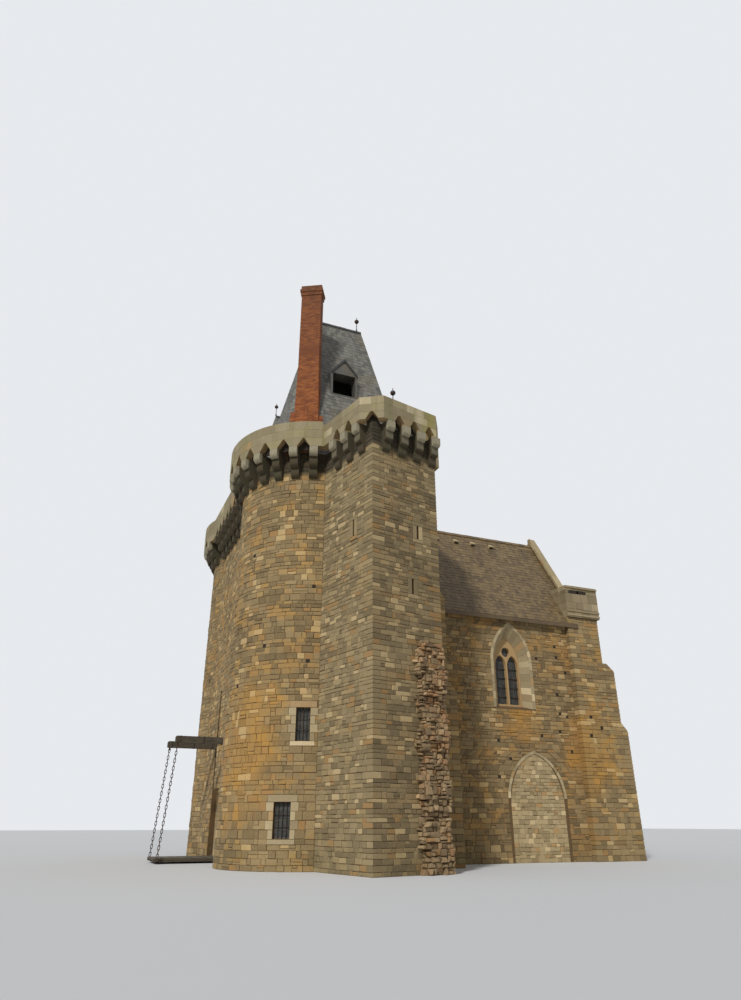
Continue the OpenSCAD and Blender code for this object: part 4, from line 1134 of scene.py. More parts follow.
class Masonry:
    """Stones laid in courses over the faces of some nodes."""

    # Least height between two levels, length of a span, and width of a stone
    LEAST_LEVEL = 0.06
    LEAST_SPAN = 0.06
    LEAST_STONE = 0.03
    # How far a span's ends may move from its foot to its top
    MOST_SLANT = 0.8
    # Least height of a course in which a stone may be made of two
    LEAST_SPLIT = 0.2

    def __init__(self, name: str, regions: Sequence[Region], style: Coursing, template: Template,
                 seed: int) -> None:
        """Set out the courses.

        Args:
            name: Name of the piece that the stones make.
            regions: The faces, which share their courses.
            style: Sizes of the stones.
            template: The stone.
            seed: Seed of all irregularities.
        """
        self.name = name
        self.regions = list(regions)
        self.style = style
        self.template = template
        self.seed = seed
        self.rng = random.Random(seed)
        if not self.regions:
            LOG.warning("%s has no faces", name)
        levels = sorted({v for r in self.regions for v in r.breaks()})
        merged = levels[:1]
        for level in levels[1:]:
            if level - merged[-1] > self.LEAST_LEVEL:
                merged.append(level)
        self.rows = style.rows(merged, self.rng)

    def _mitre(self, region: Region, u: float, v: float) -> float:
        """Lean of a block's end where two faces meet at an outer corner, or 0."""
        here = region.surface
        if not isinstance(here, Plane):
            return 0.0
        place = here.at(u, v)
        for other in self.regions:
            there = other.surface
            if other is region or not isinstance(there, Plane):
                continue
            cosine = float(here.normal @ there.normal)
            flat = there.unroll(place)
            if abs(flat[2]) > ON_FACE or not -0.3 < cosine < 0.995:
                continue
            middle = there.at(*other.triangles.mean((0, 1)))
            if float(here.normal @ (middle - here.origin)) > 0.01:
                continue
            if any(a - 0.05 < flat[0] < b + 0.05 for a, b in other.spans(float(flat[1]))):
                return math.tan(math.acos(max(-1.0, min(1.0, cosine))) / 2)
        return 0.0

    def _lengths(self, span: float, first: Optional[float], last: Optional[float]) -> list[float]:
        """Random lengths that fill a span, with set lengths at corners."""
        style = self.style
        if span < style.length * 1.3:
            return [span]
        head = [first] if first and first < span * 0.6 else []
        tail = [last] if last and last < span * 0.6 - sum(head) * 0.5 else []
        rest = span - sum(head) - sum(tail)
        count = max(1, round(rest / style.length))
        weights = [1 + self.rng.uniform(-style.length_spread, style.length_spread) for _ in range(count)]
        total = sum(weights)
        return head + [w / total * rest for w in weights] + tail

    def _course(self, region: Region, blocks: Blocks, index: int, foot: float, top: float) -> None:
        """Lay one course on one face."""
        style, level = self.style, (foot + top) / 2
        margin = min(0.02, (top - foot) * 0.1)
        spans = region.spans(level)
        low_spans, top_spans = region.spans(foot + margin), region.spans(top - margin)
        matched = len(low_spans) == len(spans) == len(top_spans)
        for number, (a, b) in enumerate(spans):
            if b - a < self.LEAST_SPAN:
                continue
            ends = [low_spans[number], top_spans[number]] if matched else [(a, b), (a, b)]
            if max(abs(low - high) for low, high in zip(*ends)) > self.MOST_SLANT:
                ends = [(a, b), (a, b)]
            left, right = (self._mitre(region, u, level) for u in (a, b))
            long, short = style.quoin
            first = (long if index % 2 else short) if left else None
            last = (short if index % 2 else long) if right else None
            lengths = self._lengths(b - a, first, last)
            offset = style.bond * style.length * (index % 2)
            if offset and not first and len(lengths) > 1:
                lengths = [offset, *lengths[1:-1], lengths[-1] + lengths[0] - offset]
            place = 0.0
            for i, length in enumerate(lengths):
                shares = (place / (b - a), (place + length) / (b - a))
                place += length
                mitre = (left if i == 0 else 0.0, right if i == len(lengths) - 1 else 0.0)
                shade = None
                if any(mitre):
                    x, y = region.surface.at(a if mitre[0] else b, foot)[:2]
                    shade = (math.sin(x * 12.9 + y * 78.2 + index * 37.7) * 43758.5) % 1.0
                self._stone(blocks, (foot, top), ends, shares, mitre, shade)

    def _stone(self, blocks: Blocks, levels: Pair, ends: Spans, shares: Pair, mitre: Pair,
               shade: Optional[float]) -> None:
        """Lay one stone of a course, or two thin ones.

        Args:
            blocks: The stones that it joins.
            levels: Foot and top of the course.
            ends: The course's ends at its foot and at its top.
            shares: Where the stone begins and ends along the course.
            mitre: Lean of its left and right ends where they are at a corner, or else 0.
            shade: The shade that a corner stone's two faces share, or None elsewhere.
        """
        style, rng, half = self.style, self.rng, self.style.gap / 2
        heights = (levels[0] + half, levels[1] - half)
        jitter = [rng.uniform(-style.jitter, style.jitter) for _ in range(6)]
        free = tuple(0.0 if lean else 1.0 for lean in mitre)
        corners = []
        for number, (side, row) in enumerate(((0, 0), (1, 0), (1, 1), (0, 1))):
            start, stop = ends[row]
            u = start + shares[side] * (stop - start) + (half, -half)[side] * free[side]
            corners.append((u + free[side] * jitter[number], heights[row] + jitter[4 + row] * free[side]))
        p, q, r, s = corners
        if max(q[0] - p[0], r[0] - s[0]) < self.LEAST_STONE:
            return
        tone = rng.random()
        out = rng.uniform(*style.out)
        if shade is not None:
            tone, out = shade, sum(style.out) / 2
        elif rng.random() < style.split and levels[1] - levels[0] > self.LEAST_SPLIT:
            middle = sum(heights) / 2 + rng.uniform(-0.03, 0.03)
            blocks.lay([p, q, (q[0], middle - half), (p[0], middle - half)], out, tone)
            corners = [(s[0], middle + half), (r[0], middle + half), r, s]
            tone = rng.random()
        blocks.lay(corners, out, tone, mitre)

    def patch(self, into: Patchwork, only: Optional[Sequence[Region]] = None) -> None:
        """Lay all courses into a joined mesh, on all faces or on some of them."""
        for number, region in enumerate(self.regions):
            if only is not None and region not in only:
                continue
            blocks = Blocks()
            for index, (foot, top) in enumerate(self.rows):
                if top > region.low + 0.01 and foot < region.high - 0.01:
                    self._course(region, blocks, index, max(foot, region.low), min(top, region.high))
            into.add(self.template, region.surface, blocks, self.seed * 31 + number)

    def build(self, material: bpy.types.Material, slot: str = "stone") -> Optional[bpy.types.Object]:
        """Lay all courses as one piece."""
        work = Patchwork()
        self.patch(work)
        return work.build(self.name, material, slot=slot)


WALLING = Coursing(0.22, 0.35, 0.016, (0.010, 0.038), 0.32, 0.55, 0.009, split=0.14)
FINE_WALLING = Coursing(0.18, 0.34, 0.015, (0.010, 0.036), 0.32, 0.55, 0.009, (0.60, 0.36))
FILLING = Coursing(0.17, 0.27, 0.014, (0.006, 0.016), 0.3, 0.4, 0.006)
ASHLAR = Coursing(0.42, 0.8, 0.010, (0.006, 0.012), 0.06, 0.25, 0.002, (0.7, 0.5), 0.0)
RECESSED = Coursing(0.26, 0.42, 0.010, (0.002, 0.007), 0.2, 0.35, 0.003, (0.5, 0.35), 0.0)
PIER_ASHLAR = Coursing(0.36, 0.55, 0.012, (0.008, 0.022), 0.15, 0.3, 0.005, (0.6, 0.4), 0.0)
BRICKWORK = Coursing(0.075, 0.225, 0.010, (0.004, 0.009), 0.03, 0.08, 0.001, (0.215, 0.1), 0.0)
SLATING = Coursing(0.26, 0.21, 0.005, (0.007, 0.014), 0.02, 0.18, 0.006, (0.21, 0.11), 0.0, 0.5)
CHAPEL_SLATING = Coursing(0.24, 0.22, 0.006, (0.008, 0.02), 0.04, 0.25, 0.010, (0.21, 0.11), 0.0, 0.5)
RUBBLE = Coursing(0.16, 0.22, 0.03, (0.01, 0.20), 0.4, 0.55, 0.03, (0.2, 0.14), 0.3)


@dataclass
class Templates:
    """The modelled blocks."""

    rough: Template = field(default_factory=Template.rough)
    dressed: Template = field(default_factory=Template.dressed)
    slate: Template = field(default_factory=Template.slate)


def upright_outward(inside: Sequence[float]) -> FaceTest:
    """A test for upright faces that look away from a point."""
    centre = np.array([*inside])

    def wanted(normal: np.ndarray, middle: np.ndarray) -> bool:
        """Whether the face is upright and looks outwards."""
        return abs(normal[2]) < 0.3 and float(normal[:2] @ (middle[:2] - centre)) > 0.0

    return wanted


def upward(normal: np.ndarray, middle: np.ndarray) -> bool:
    """Whether a face is a roof's slope seen from above."""
    return normal[2] > 0.08


def spot(surface: Surface, u: float, v: float, inward: float = 0.0) -> Plane:
    """A small upright plane that touches a surface, or lies behind it, with its middle at u and v."""
    here, there = (surface.at(u + d, v) for d in (-0.01, 0.01))
    along = (there - here) / np.linalg.norm(there - here)
    normal = np.cross(along, UP)
    normal /= np.linalg.norm(normal)
    return Plane(surface.at(u, v, -inward), normal)


def rect(low: float, high: float, foot: float, top: float) -> list[Pair]:
    """Corners of an upright rectangle."""
    return [(low, foot), (high, foot), (high, top), (low, top)]


class Trim:
    """Dressed stones round openings, and what fills the openings."""

    # Half the joint between two frame stones, and the width of a window's narrower jamb
    JOINT = 0.006
    JAMB = 0.2
    # Heights of a lintel and a sill
    LINTEL = 0.26
    SILL = 0.18
    # Distance of the glass from the wall's face, and of the bars from the glass
    GLASS_IN = 0.2
    BARS_OUT = 0.07
    # Width and depth of a window's frame, and half its bars' width
    FRAME = 0.05
    FRAME_DEPTH = 0.045
    BAR = 0.009

    def __init__(self, templates: Templates) -> None:
        """Start with empty meshes."""
        self.templates = templates
        self.rng = random.Random(5)
        self.stone = Patchwork()
        self.plain = Patchwork()
        self.iron = Patchwork()
        self.wood = Patchwork()
        self.glass = Patchwork()
        # Dark plates that stand for the shade in slits, holes and slots
        self.dark = Patchwork()

    def lay(self, work: Patchwork, surface: Surface, corners: Corners, out: float) -> None:
        """Lay one block."""
        blocks = Blocks()
        blocks.lay(corners, out, self.rng.random())
        work.add(self.templates.dressed, surface, blocks, self.rng.randrange(9999), 0.1)

    def frame(self, region: Region, gap: Gap, out: float, joint: float) -> None:
        """Lay one frame stone, and leave its place free of walling."""
        region.gaps.append(gap)
        corners = rect(gap.low, gap.high, gap.foot + joint, gap.top - joint)
        self.lay(self.stone, region.surface, corners, out)

    def window(self, region: Region, gap: Gap) -> None:
        """Frame a square-headed opening with jambs, a lintel and a sill, and glaze it.

        Args:
            region: The wall's face, which leaves room for the frame.
            gap: The opening.
        """
        jamb, joint = self.JAMB, self.JOINT
        height = gap.top - gap.foot
        count = max(2, round(height / 0.3))
        for side in (-1, 1):
            for k in range(count):
                width = jamb * (1.0 if (k + side) % 2 else 1.55)
                foot = gap.foot + k * height / count
                low, high = (gap.low - width, gap.low) if side < 0 else (gap.high, gap.high + width)
                region.gaps.append(Gap(low, high, foot, foot + height / count))
                corners = rect(low + joint, high - joint, foot + joint, foot + height / count - joint)
                self.lay(self.stone, region.surface, corners, 0.035)
        wide = jamb * 1.3
        self.frame(region, Gap(gap.low - wide, gap.high + wide, gap.top, gap.top + self.LINTEL), 0.04, joint)
        self.frame(region, Gap(gap.low - jamb, gap.high + jamb, gap.foot - self.SILL, gap.foot), 0.05, joint)
        self.leaded(region.surface, gap)

    def leaded(self, surface: Surface, gap: Gap) -> None:
        """A wooden frame with small panes, and iron bars in front."""
        width, height = gap.high - gap.low, gap.top - gap.foot
        plane = spot(surface, gap.centre, gap.foot + height / 2, self.GLASS_IN)
        half, tall, edge, bar = width / 2, height / 2, self.FRAME, self.BAR
        self.lay(self.glass, plane, rect(-half, half, -tall, tall), 0.01)
        for corners in (rect(-half, -half + edge, -tall, tall), rect(half - edge, half, -tall, tall),
                        rect(-half, half, tall - edge, tall), rect(-half, half, -tall, -tall + 0.06),
                        rect(-0.025, 0.025, -tall, tall)):
            self.lay(self.wood, plane, corners, self.FRAME_DEPTH)
        for k in range(1, 4):
            v = -tall + k * height / 4
            self.lay(self.wood, plane, rect(-half, half, v - 0.012, v + 0.012), 0.03)
        front = spot(surface, gap.centre, gap.foot + height / 2, self.GLASS_IN - self.BARS_OUT)
        for k in range(1, 4):
            u = -half + k * width / 4
            self.lay(self.iron, front, rect(u - bar, u + bar, -tall, tall), 0.018)
        for k in (1, 2):
            v = -tall + k * height / 3
            self.lay(self.iron, front, rect(-half, half, v - bar, v + bar), 0.024)

    def slit(self, region: Region, gap: Gap) -> None:
        """Frame a slit with four dressed stones."""
        foot, top, joint = gap.foot - 0.02, gap.top + 0.02, 0.005
        for stone in (Gap(gap.low - 0.2, gap.low, foot, top), Gap(gap.high, gap.high + 0.2, foot, top),
                      Gap(gap.low - 0.26, gap.high + 0.26, top, gap.top + 0.2),
                      Gap(gap.low - 0.22, gap.high + 0.22, gap.foot - 0.18, foot)):
            region.gaps.append(stone)
            corners = rect(stone.low + joint, stone.high - joint, stone.foot + joint, stone.top - joint)
            self.lay(self.plain, region.surface, corners, 0.03)
        # A dark plate behind the slit as painted shade of its inside
        tall = (gap.top - gap.foot) / 2
        back = spot(region.surface, gap.centre, gap.foot + tall, 0.1)
        self.lay(self.dark, back, rect(-gap.half, gap.half, -tall, tall), 0.01)

    def putlog(self, region: Region, u: float, v: float, size: float = 0.15) -> None:
        """A small square hole that once held a scaffold's beam, laid as a dark plate of painted shade where
        the stones are left out.
        """
        half = size / 2
        region.gaps.append(Gap(u - half, u + half, v - half, v + half))
        corners = rect(u - half, u + half, v - half, v + half)
        self.dark.one(self.templates.dressed, region.surface, corners, 0.003, 0.0, 1)

    def head(self, surface: Surface, gap: Gap, count: int, width: float, out: float) -> None:
        """The stones round an arch's head."""
        inner, outer = gap.head(count), gap.head(count, width)
        for k in range(len(inner) - 1):
            self.lay(self.stone, surface, [inner[k + 1], inner[k], outer[k], outer[k + 1]], out)

    def ring(self, region: Region, gap: Gap, width: float, out: float) -> None:
        """A ring of dressed stones round a pointed or round head, with its jambs.

        Args:
            region: The wall's face, which leaves room for the ring.
            gap: The opening.
            width: Width of the ring.
            out: How far it stands out.
        """
        self.head(region.surface, gap, max(3, round(gap.arc * 1.1 / 0.3)), width, out)
        region.gaps.append(gap.grown(width))
        count = max(1, round((gap.spring - gap.foot) / 0.36))
        step = (gap.spring - gap.foot) / count
        for k in range(count):
            z0, z1 = gap.foot + k * step + 0.005, gap.foot + (k + 1) * step - 0.005
            self.lay(self.stone, region.surface, rect(gap.low - width, gap.low, z0, z1), out)
            self.lay(self.stone, region.surface, rect(gap.high, gap.high + width, z0, z1), out)

    def dress(self, region: Region) -> None:
        """Frame every opening of a region by its shape."""
        for gap in region.openings():
            width, height = gap.high - gap.low, gap.top - gap.foot
            if gap.rise:
                self.ring(region, gap, 0.17, 0.035)
            elif width < 0.3:
                self.slit(region, gap)
            elif width < 0.8 and 0.8 < height < 1.8:
                self.window(region, gap)

    def build(self, finishes: Finishes) -> None:
        """Make the joined pieces."""
        self.stone.build("opening_frames", finishes.pale, slot="pale_stone")
        self.plain.build("slit_frames", finishes.turret)
        self.iron.build("window_bars", finishes.iron, slot="iron")
        self.wood.build("window_frames", finishes.wood, slot="timber")
        self.glass.build("window_panes", finishes.glass, slot="glass")
        self.dark.build("putlog_holes", finishes.dark, slot="stone")


@dataclass
class Maker:
    """Lays the stones of one part of the keep, with what all makers share."""

    layout: Layout
    finishes: Finishes
    templates: Templates
    trim: Trim

    def __post_init__(self) -> None:
        """Give the modelled blocks short names."""
        blocks = self.templates
        self.rough, self.dressed, self.slate = blocks.rough, blocks.dressed, blocks.slate


@dataclass
class Towers(Maker):
    """The two towers, the gate between them and the back wall."""

    # Degrees between which each round front shows
    near_arc: Pair = (136.5, 260.8)
    far_arc: Pair = (90.0, 201.3)
    # Putlog holes, each by its degrees and its height
    near_holes: Corners = ((181.0, 10.2), (255.0, 10.9), (252.7, 7.7), (206.0, 12.6), (196.0, 6.9),
                           (221.0, 8.4))
    far_holes: Corners = ((150.0, 10.6), (170.0, 8.1), (187.0, 12.2), (196.0, 9.0), (178.0, 6.6))
    # The gate's opening in the recess: half its width, its spring and its rise, and the ring round it
    gate_half: float = 1.0
    gate_spring: float = 1.9
    gate_rise: float = 1.0
    gate_ring: float = 0.3

    def _arc(self, degrees: float) -> float:
        """Length of arc on a tower's drum of a direction in degrees."""
        return math.radians(degrees - 180) * self.layout.radius

    def _round(self, side: str, centre: np.ndarray, arc: Pair, holes: Corners, seed: int) -> None:
        """Lay the stones of one tower's round front."""
        region = drum_region([f"{side}_tower_round_south", f"{side}_tower_round_north"],
                             Drum(centre, self.layout.radius), (self._arc(arc[0]), self._arc(arc[1])))
        self.trim.dress(region)
        for degrees, v in holes:
            self.trim.putlog(region, self._arc(degrees), v)
        Masonry(f"{side}_tower_stones", [region], WALLING, self.rough, seed).build(self.finishes.wall)

    def build(self) -> None:
        """Lay the stones of the rounds, the gate and the square backs."""
        lay, rough, wall = self.layout, self.rough, self.finishes.wall
        self._round("near", lay.near, self.near_arc, self.near_holes, 11)
        self._round("far", lay.far, self.far_arc, self.far_holes, 12)
        gate = plane_regions(["gate_jambs", "gate_arch", "gate_slot_walls", "gate_upper_wall"],
                             lambda n, m: n[0] < -0.9 and m[0] < lay.gate_x + 0.4)
        recess = [r for r in gate if -float(r.surface.origin[0]) < -lay.gate_x - 0.1]
        for region in recess:
            middle = region.u_at(lay.gate_x, lay.gate_y)
            gap = Gap(middle - self.gate_half, middle + self.gate_half, 0.0, self.gate_spring, self.gate_rise)
            self.trim.ring(region, gap, self.gate_ring, 0.008)
        Masonry("gate_recess_stones", recess, RECESSED, self.dressed, 15).build(wall)
        face = [r for r in gate if all(r is not other for other in recess)]
        Masonry("gate_stones", face, WALLING, rough, 13).build(wall)
        square = plane_regions(["near_tower_side_walls", "far_tower_side_walls", "back_wall"],
                               lambda n, m: abs(n[2]) < 0.3 and
                               (m[1] < lay.near[1] - lay.radius + 0.05 and n[1] < -0.5 or
                                m[1] > lay.far[1] + lay.radius - 0.05 and n[1] > 0.5 or
                                m[0] > lay.back_x - 0.05 and n[0] > 0.5))
        for region in square:
            self.trim.dress(region)
        Masonry("gatehouse_stones", square, WALLING, rough, 14).build(wall)


@dataclass
class Turret(Maker):
    """The square stair turret and the torn end of the fallen wall on its corner."""

    # Half the turret's width
    half: float = 1.7

    def build(self) -> None:
        """Lay the turret's stones and the rubble of the scar."""
        lay = self.layout
        cos, sin, half = math.cos(lay.turn), math.sin(lay.turn), self.half
        middle = (lay.turret[0] + half * cos - half * sin, lay.turret[1] + half * sin + half * cos)
        faces = plane_regions(["turret_front_wall", "turret_side_walls"], upright_outward(middle))
        faces = [f for f in faces if f.high - f.low > 5]
        for face in faces:
            self.trim.dress(face)
        left = [f for f in faces if f.surface.normal[0] < -0.5]
        rest = [f for f in faces if f.surface.normal[0] >= -0.5]
        stones = Masonry("turret_stones", faces, FINE_WALLING, self.rough, 21)
        # The left faces, towards the light, take the turret stone; the front and right faces take its darker
        # copy, which is partly painted shade
        for name, some, finish in (("turret_left_stones", left, self.finishes.turret),
                                   ("turret_front_stones", rest, self.finishes.turret_front)):
            work = Patchwork()
            stones.patch(work, some)
            work.build(name, finish)
        scar = plane_regions(["fallen_wall_stub"], lambda n, m: n[2] > -0.5, 0.015)
        work = Patchwork()
        for number, region in enumerate(scar):
            Masonry("scar", [region], RUBBLE, self.rough, 22 + number).patch(work)
        work.build("fallen_wall_rubble", self.finishes.rubble)


@dataclass
class Parapets(Maker):
    """The ashlar of all parapets, and dark plates of painted shade behind the arches below them."""

    thick: float = 0.38

    def build(self) -> None:
        """Lay the parapets' outer faces."""
        lay, dressed = self.layout, self.dressed
        rim = lay.radius + lay.overhang
        rounds = (("near_tower_parapet", lay.near, 31), ("far_tower_parapet", lay.far, 32))
        work = Patchwork()
        for name, centre, seed in rounds:
            region = drum_region([name], Drum(centre, rim), ENDLESS)
            Masonry(name, [region], ASHLAR, dressed, seed).patch(work)
        names = ["side_parapets", "near_tower_parapet", "far_tower_parapet"]
        outer = upright_outward((lay.near[0] + 1.0, lay.gate_y))
        turned = upright_outward(lay.turret + 2.0)
        Masonry("straight", plane_regions(names, outer), ASHLAR, dressed, 33).patch(work)
        turret = plane_regions(["turret_parapet"], turned, 0.2)
        Masonry("turret", turret, ASHLAR, dressed, 34).patch(work)
        work.build("parapet_ashlar", self.finishes.ashlar)
        inner = plane_regions(names, lambda n, m: abs(n[2]) < 0.3 and not outer(n, m), 0.15)
        inner += plane_regions(["turret_parapet"], lambda n, m: abs(n[2]) < 0.3 and not turned(n, m), 0.15)
        inner += [drum_region([name], Drum(centre, rim - self.thick), ENDLESS) for name, centre, _ in rounds]
        # Dark plates as painted shade, so that the openings look black from outside
        backs = Patchwork()
        for number, region in enumerate(inner):
            blocks = Blocks()
            for gap in region.openings(1.2):
                blocks.lay(rect(gap.low - 0.02, gap.high + 0.02, gap.foot - 0.06, gap.top + 0.02), 0.03, 0.0)
            backs.add(dressed, region.surface, blocks, number, 0.0)
        backs.build("machicolation_painted_shade", self.finishes.dark)


@dataclass
class Roofs(Maker):
    """Slates of all roofs, their ridges and the small vents."""

    # Places of the vents along the chapel's ridge, and their distance below it
    vents: tuple[float, ...] = (0.353, 0.475, 0.581, 0.701)
    vent_drop: float = 0.82

    def build(self) -> None:
        """Lay the slates."""
        slate = self.slate
        ridges = Patchwork()
        for number, (node, piece) in enumerate((("near_tower_roof", "near_tower_slates"),
                                                ("far_tower_roof", "far_tower_slates"),
                                                ("turret_roof", "turret_slates"))):
            work = Patchwork()
            for i, region in enumerate(plane_regions([node], upward)):
                Masonry(piece, [region], SLATING, slate, 41 + number * 10 + i).patch(work)
            work.build(piece, self.finishes.slate, slot="slate")
            self._ridge(node, ridges, 0.16)
        for number, side in enumerate(("south", "north")):
            work = Patchwork()
            for i, region in enumerate(plane_regions([f"chapel_roof_{side}"], upward)):
                Masonry(side, [region], CHAPEL_SLATING, slate, 81 + number * 5 + i).patch(work)
            work.build(f"chapel_slates_{side}", self.finishes.brown_slate, slot="brown_slate")
        ridges.build("roof_ridges", self.finishes.lead, slot="slate")
        caps = Patchwork()
        self._ridge("chapel_roof_south", caps, 0.2)
        caps.build("chapel_ridge", self.finishes.brown_slate, slot="brown_slate")
        self._vents()
        self._dormers()

    def _ridge(self, node: str, work: Patchwork, width: float) -> None:
        """Cap a roof's ridge with lengths that lap over both slopes."""
        points = node_triangles([node]).reshape(-1, 3)
        top = points[points[:, 2] > points[:, 2].max() - 0.002]
        axis = int(np.argmax(np.ptp(top, axis=0)[:2]))
        start, end = top[np.argmin(top[:, axis])], top[np.argmax(top[:, axis])]
        length = float(np.linalg.norm(end - start))
        way = (end - start) / length
        slopes = plane_regions([node], lambda n, m: n[2] > 0.08 and abs(float(n @ way)) < 0.01)
        count = max(2, round(length / 0.45))
        for region in slopes:
            centre = region.surface.unroll((start + end) / 2)
            blocks = Blocks()
            for k in range(count):
                low = centre[0] - length / 2 + k * length / count
                blocks.lay(rect(low, low + length / count + 0.01, centre[1] - width, centre[1] + 0.004),
                           0.05 + 0.008 * (k % 2), random.Random(k).random())
            work.add(self.dressed, region.surface, blocks, 7, 0.05)

    def _vents(self) -> None:
        """Four small hooded vents near the chapel's ridge."""
        region = max(plane_regions(["chapel_roof_south"], upward), key=lambda r: r.high - r.low)
        surface = region.surface
        spans = region.spans(region.high - 1.0)
        low, high = spans[0][0], spans[-1][1]
        work, dark = Patchwork(), Patchwork()
        v = region.high - self.vent_drop
        for share in self.vents:
            u = low + share * (high - low)
            hood = [(u - 0.17, v - 0.12), (u + 0.17, v - 0.12), (u + 0.09, v + 0.2), (u - 0.09, v + 0.2)]
            work.one(self.slate, surface, hood, 0.17, 0.9, 3)
            # A dark block under the hood as painted shade of the vent's opening
            dark.one(self.dressed, surface, rect(u - 0.1, u + 0.1, v - 0.15, v - 0.1), 0.11, 0.0, 3)
        work.build("chapel_roof_vents", self.finishes.pale, slot="pale_stone")
        dark.build("vent_openings", self.finishes.dark, slot="brown_slate")

    def _dormers(self) -> None:
        """Bargeboards of roof lead on the dormers' fronts."""
        work = Patchwork()
        fronts = plane_regions(["roof_dormers"], lambda n, m: abs(n[1]) > 0.9 and
                               abs(m[1] - self.layout.gate_y) > 6.0, 0.1)
        for region in fronts:
            top = region.high
            spans = region.spans(top - 0.02)
            if not spans:
                continue
            centre = (spans[0][0] + spans[-1][1]) / 2
            wide = region.spans(top - 0.85)
            half = (wide[-1][1] - wide[0][0]) / 2 if wide else 0.7
            for side in (-1, 1):
                low, high = centre + side * (half + 0.05), centre
                p, q, r, s = (low, top - 0.95), (low, top - 0.78), (high, top + 0.1), (high, top - 0.08)
                corners = [s, p, q, r] if side > 0 else [p, s, r, q]
                work.one(self.dressed, region.surface, corners, 0.06, 0.8, 4)
        work.build("dormer_boards", self.finishes.lead, slot="slate")


@dataclass
class Chimney(Maker):
    """Bricks of the tall chimney."""

    # Rows of bricks over the roof's foot, and the height of one
    apron_rows: int = 48
    apron_row: float = 0.08
    rng: random.Random = field(default_factory=lambda: random.Random(9))

    def build(self) -> None:
        """Lay the bricks of the stack and its cap."""
        low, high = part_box("chimney_stack")
        middle = ((low.x + high.x) / 2, (low.y + high.y) / 2)
        work = Patchwork()
        stack = plane_regions(["chimney_stack"], upright_outward(middle), 1.0)
        stack = [r for r in stack if r.high - r.low > 3]
        Masonry("stack", stack, BRICKWORK, self.dressed, 91).patch(work)
        cap = plane_regions(["chimney_cap"], upright_outward(middle), 0.05)
        Masonry("cap", cap, BRICKWORK, self.dressed, 92).patch(work)
        self._apron(work, np.array(middle), (high.x - low.x) / 2)
        work.build("chimney_bricks", self.finishes.brick, slot="brick")

    def _apron(self, work: Patchwork, middle: np.ndarray, half: float) -> None:
        """Bricks over the little of the roof that lies in front of the chimney's foot."""
        out = middle - self.layout.near
        out /= np.linalg.norm(out)
        side = np.array([-out[1], out[0]])
        for number, region in enumerate(plane_regions(["near_tower_roof"], upward)):
            blocks = Blocks()
            for row in range(self.apron_rows):
                v = region.low + self.apron_row * row + 0.04
                for a, b in region.spans(v):
                    count = max(1, round((b - a) / 0.22))
                    for k in range(count):
                        u0, u1 = a + k * (b - a) / count, a + (k + 1) * (b - a) / count
                        place = region.surface.at((u0 + u1) / 2, v)[:2] - middle
                        if abs(float(place @ side)) < half + 0.06 and float(place @ out) > 0.1:
                            corners = rect(u0 + 0.004, u1 - 0.004, v - 0.036, v + 0.036)
                            blocks.lay(corners, 0.035, self.rng.random())
            work.add(self.dressed, region.surface, blocks, number, 0.0)


@dataclass
class Splay(Surface):
    """The slanted reveal of a pointed window: u runs round its outline, v goes into the wall."""

    outer: Gap
    inner: Gap
    plane: Plane
    depth: float

    def __post_init__(self) -> None:
        """Sample both outlines at matching points."""
        def outline(gap: Gap) -> np.ndarray:
            """Points up one jamb, over the head and down the other."""
            return np.array([(gap.low, gap.foot), *gap.head(12), (gap.high, gap.foot)])

        self.low = outline(self.outer)
        self.high = outline(self.inner)
        steps = np.linalg.norm(np.diff(self.low, axis=0), axis=1)
        self.marks = np.concatenate([[0.0], np.cumsum(steps)])
        self.length = float(self.marks[-1])

    def point(self, u: np.ndarray, v: np.ndarray, w: np.ndarray) -> np.ndarray:
        """Places on or over the reveal."""
        first, second = (np.stack([np.interp(u, self.marks, side[:, k]) for k in range(2)], axis=-1)
                         for side in (self.low, self.high))
        share = (v / self.depth)[..., None]
        flat = first * (1 - share) + second * share
        centre = np.stack([np.full(flat.shape[:-1], self.outer.centre),
                           np.minimum(flat[..., 1], self.outer.spring)], axis=-1)
        inward = centre - flat
        inward /= np.maximum(np.linalg.norm(inward, axis=-1, keepdims=True), 1e-6)
        flat = flat + inward * w[..., None]
        return self.plane.point(flat[..., 0], flat[..., 1], -v)


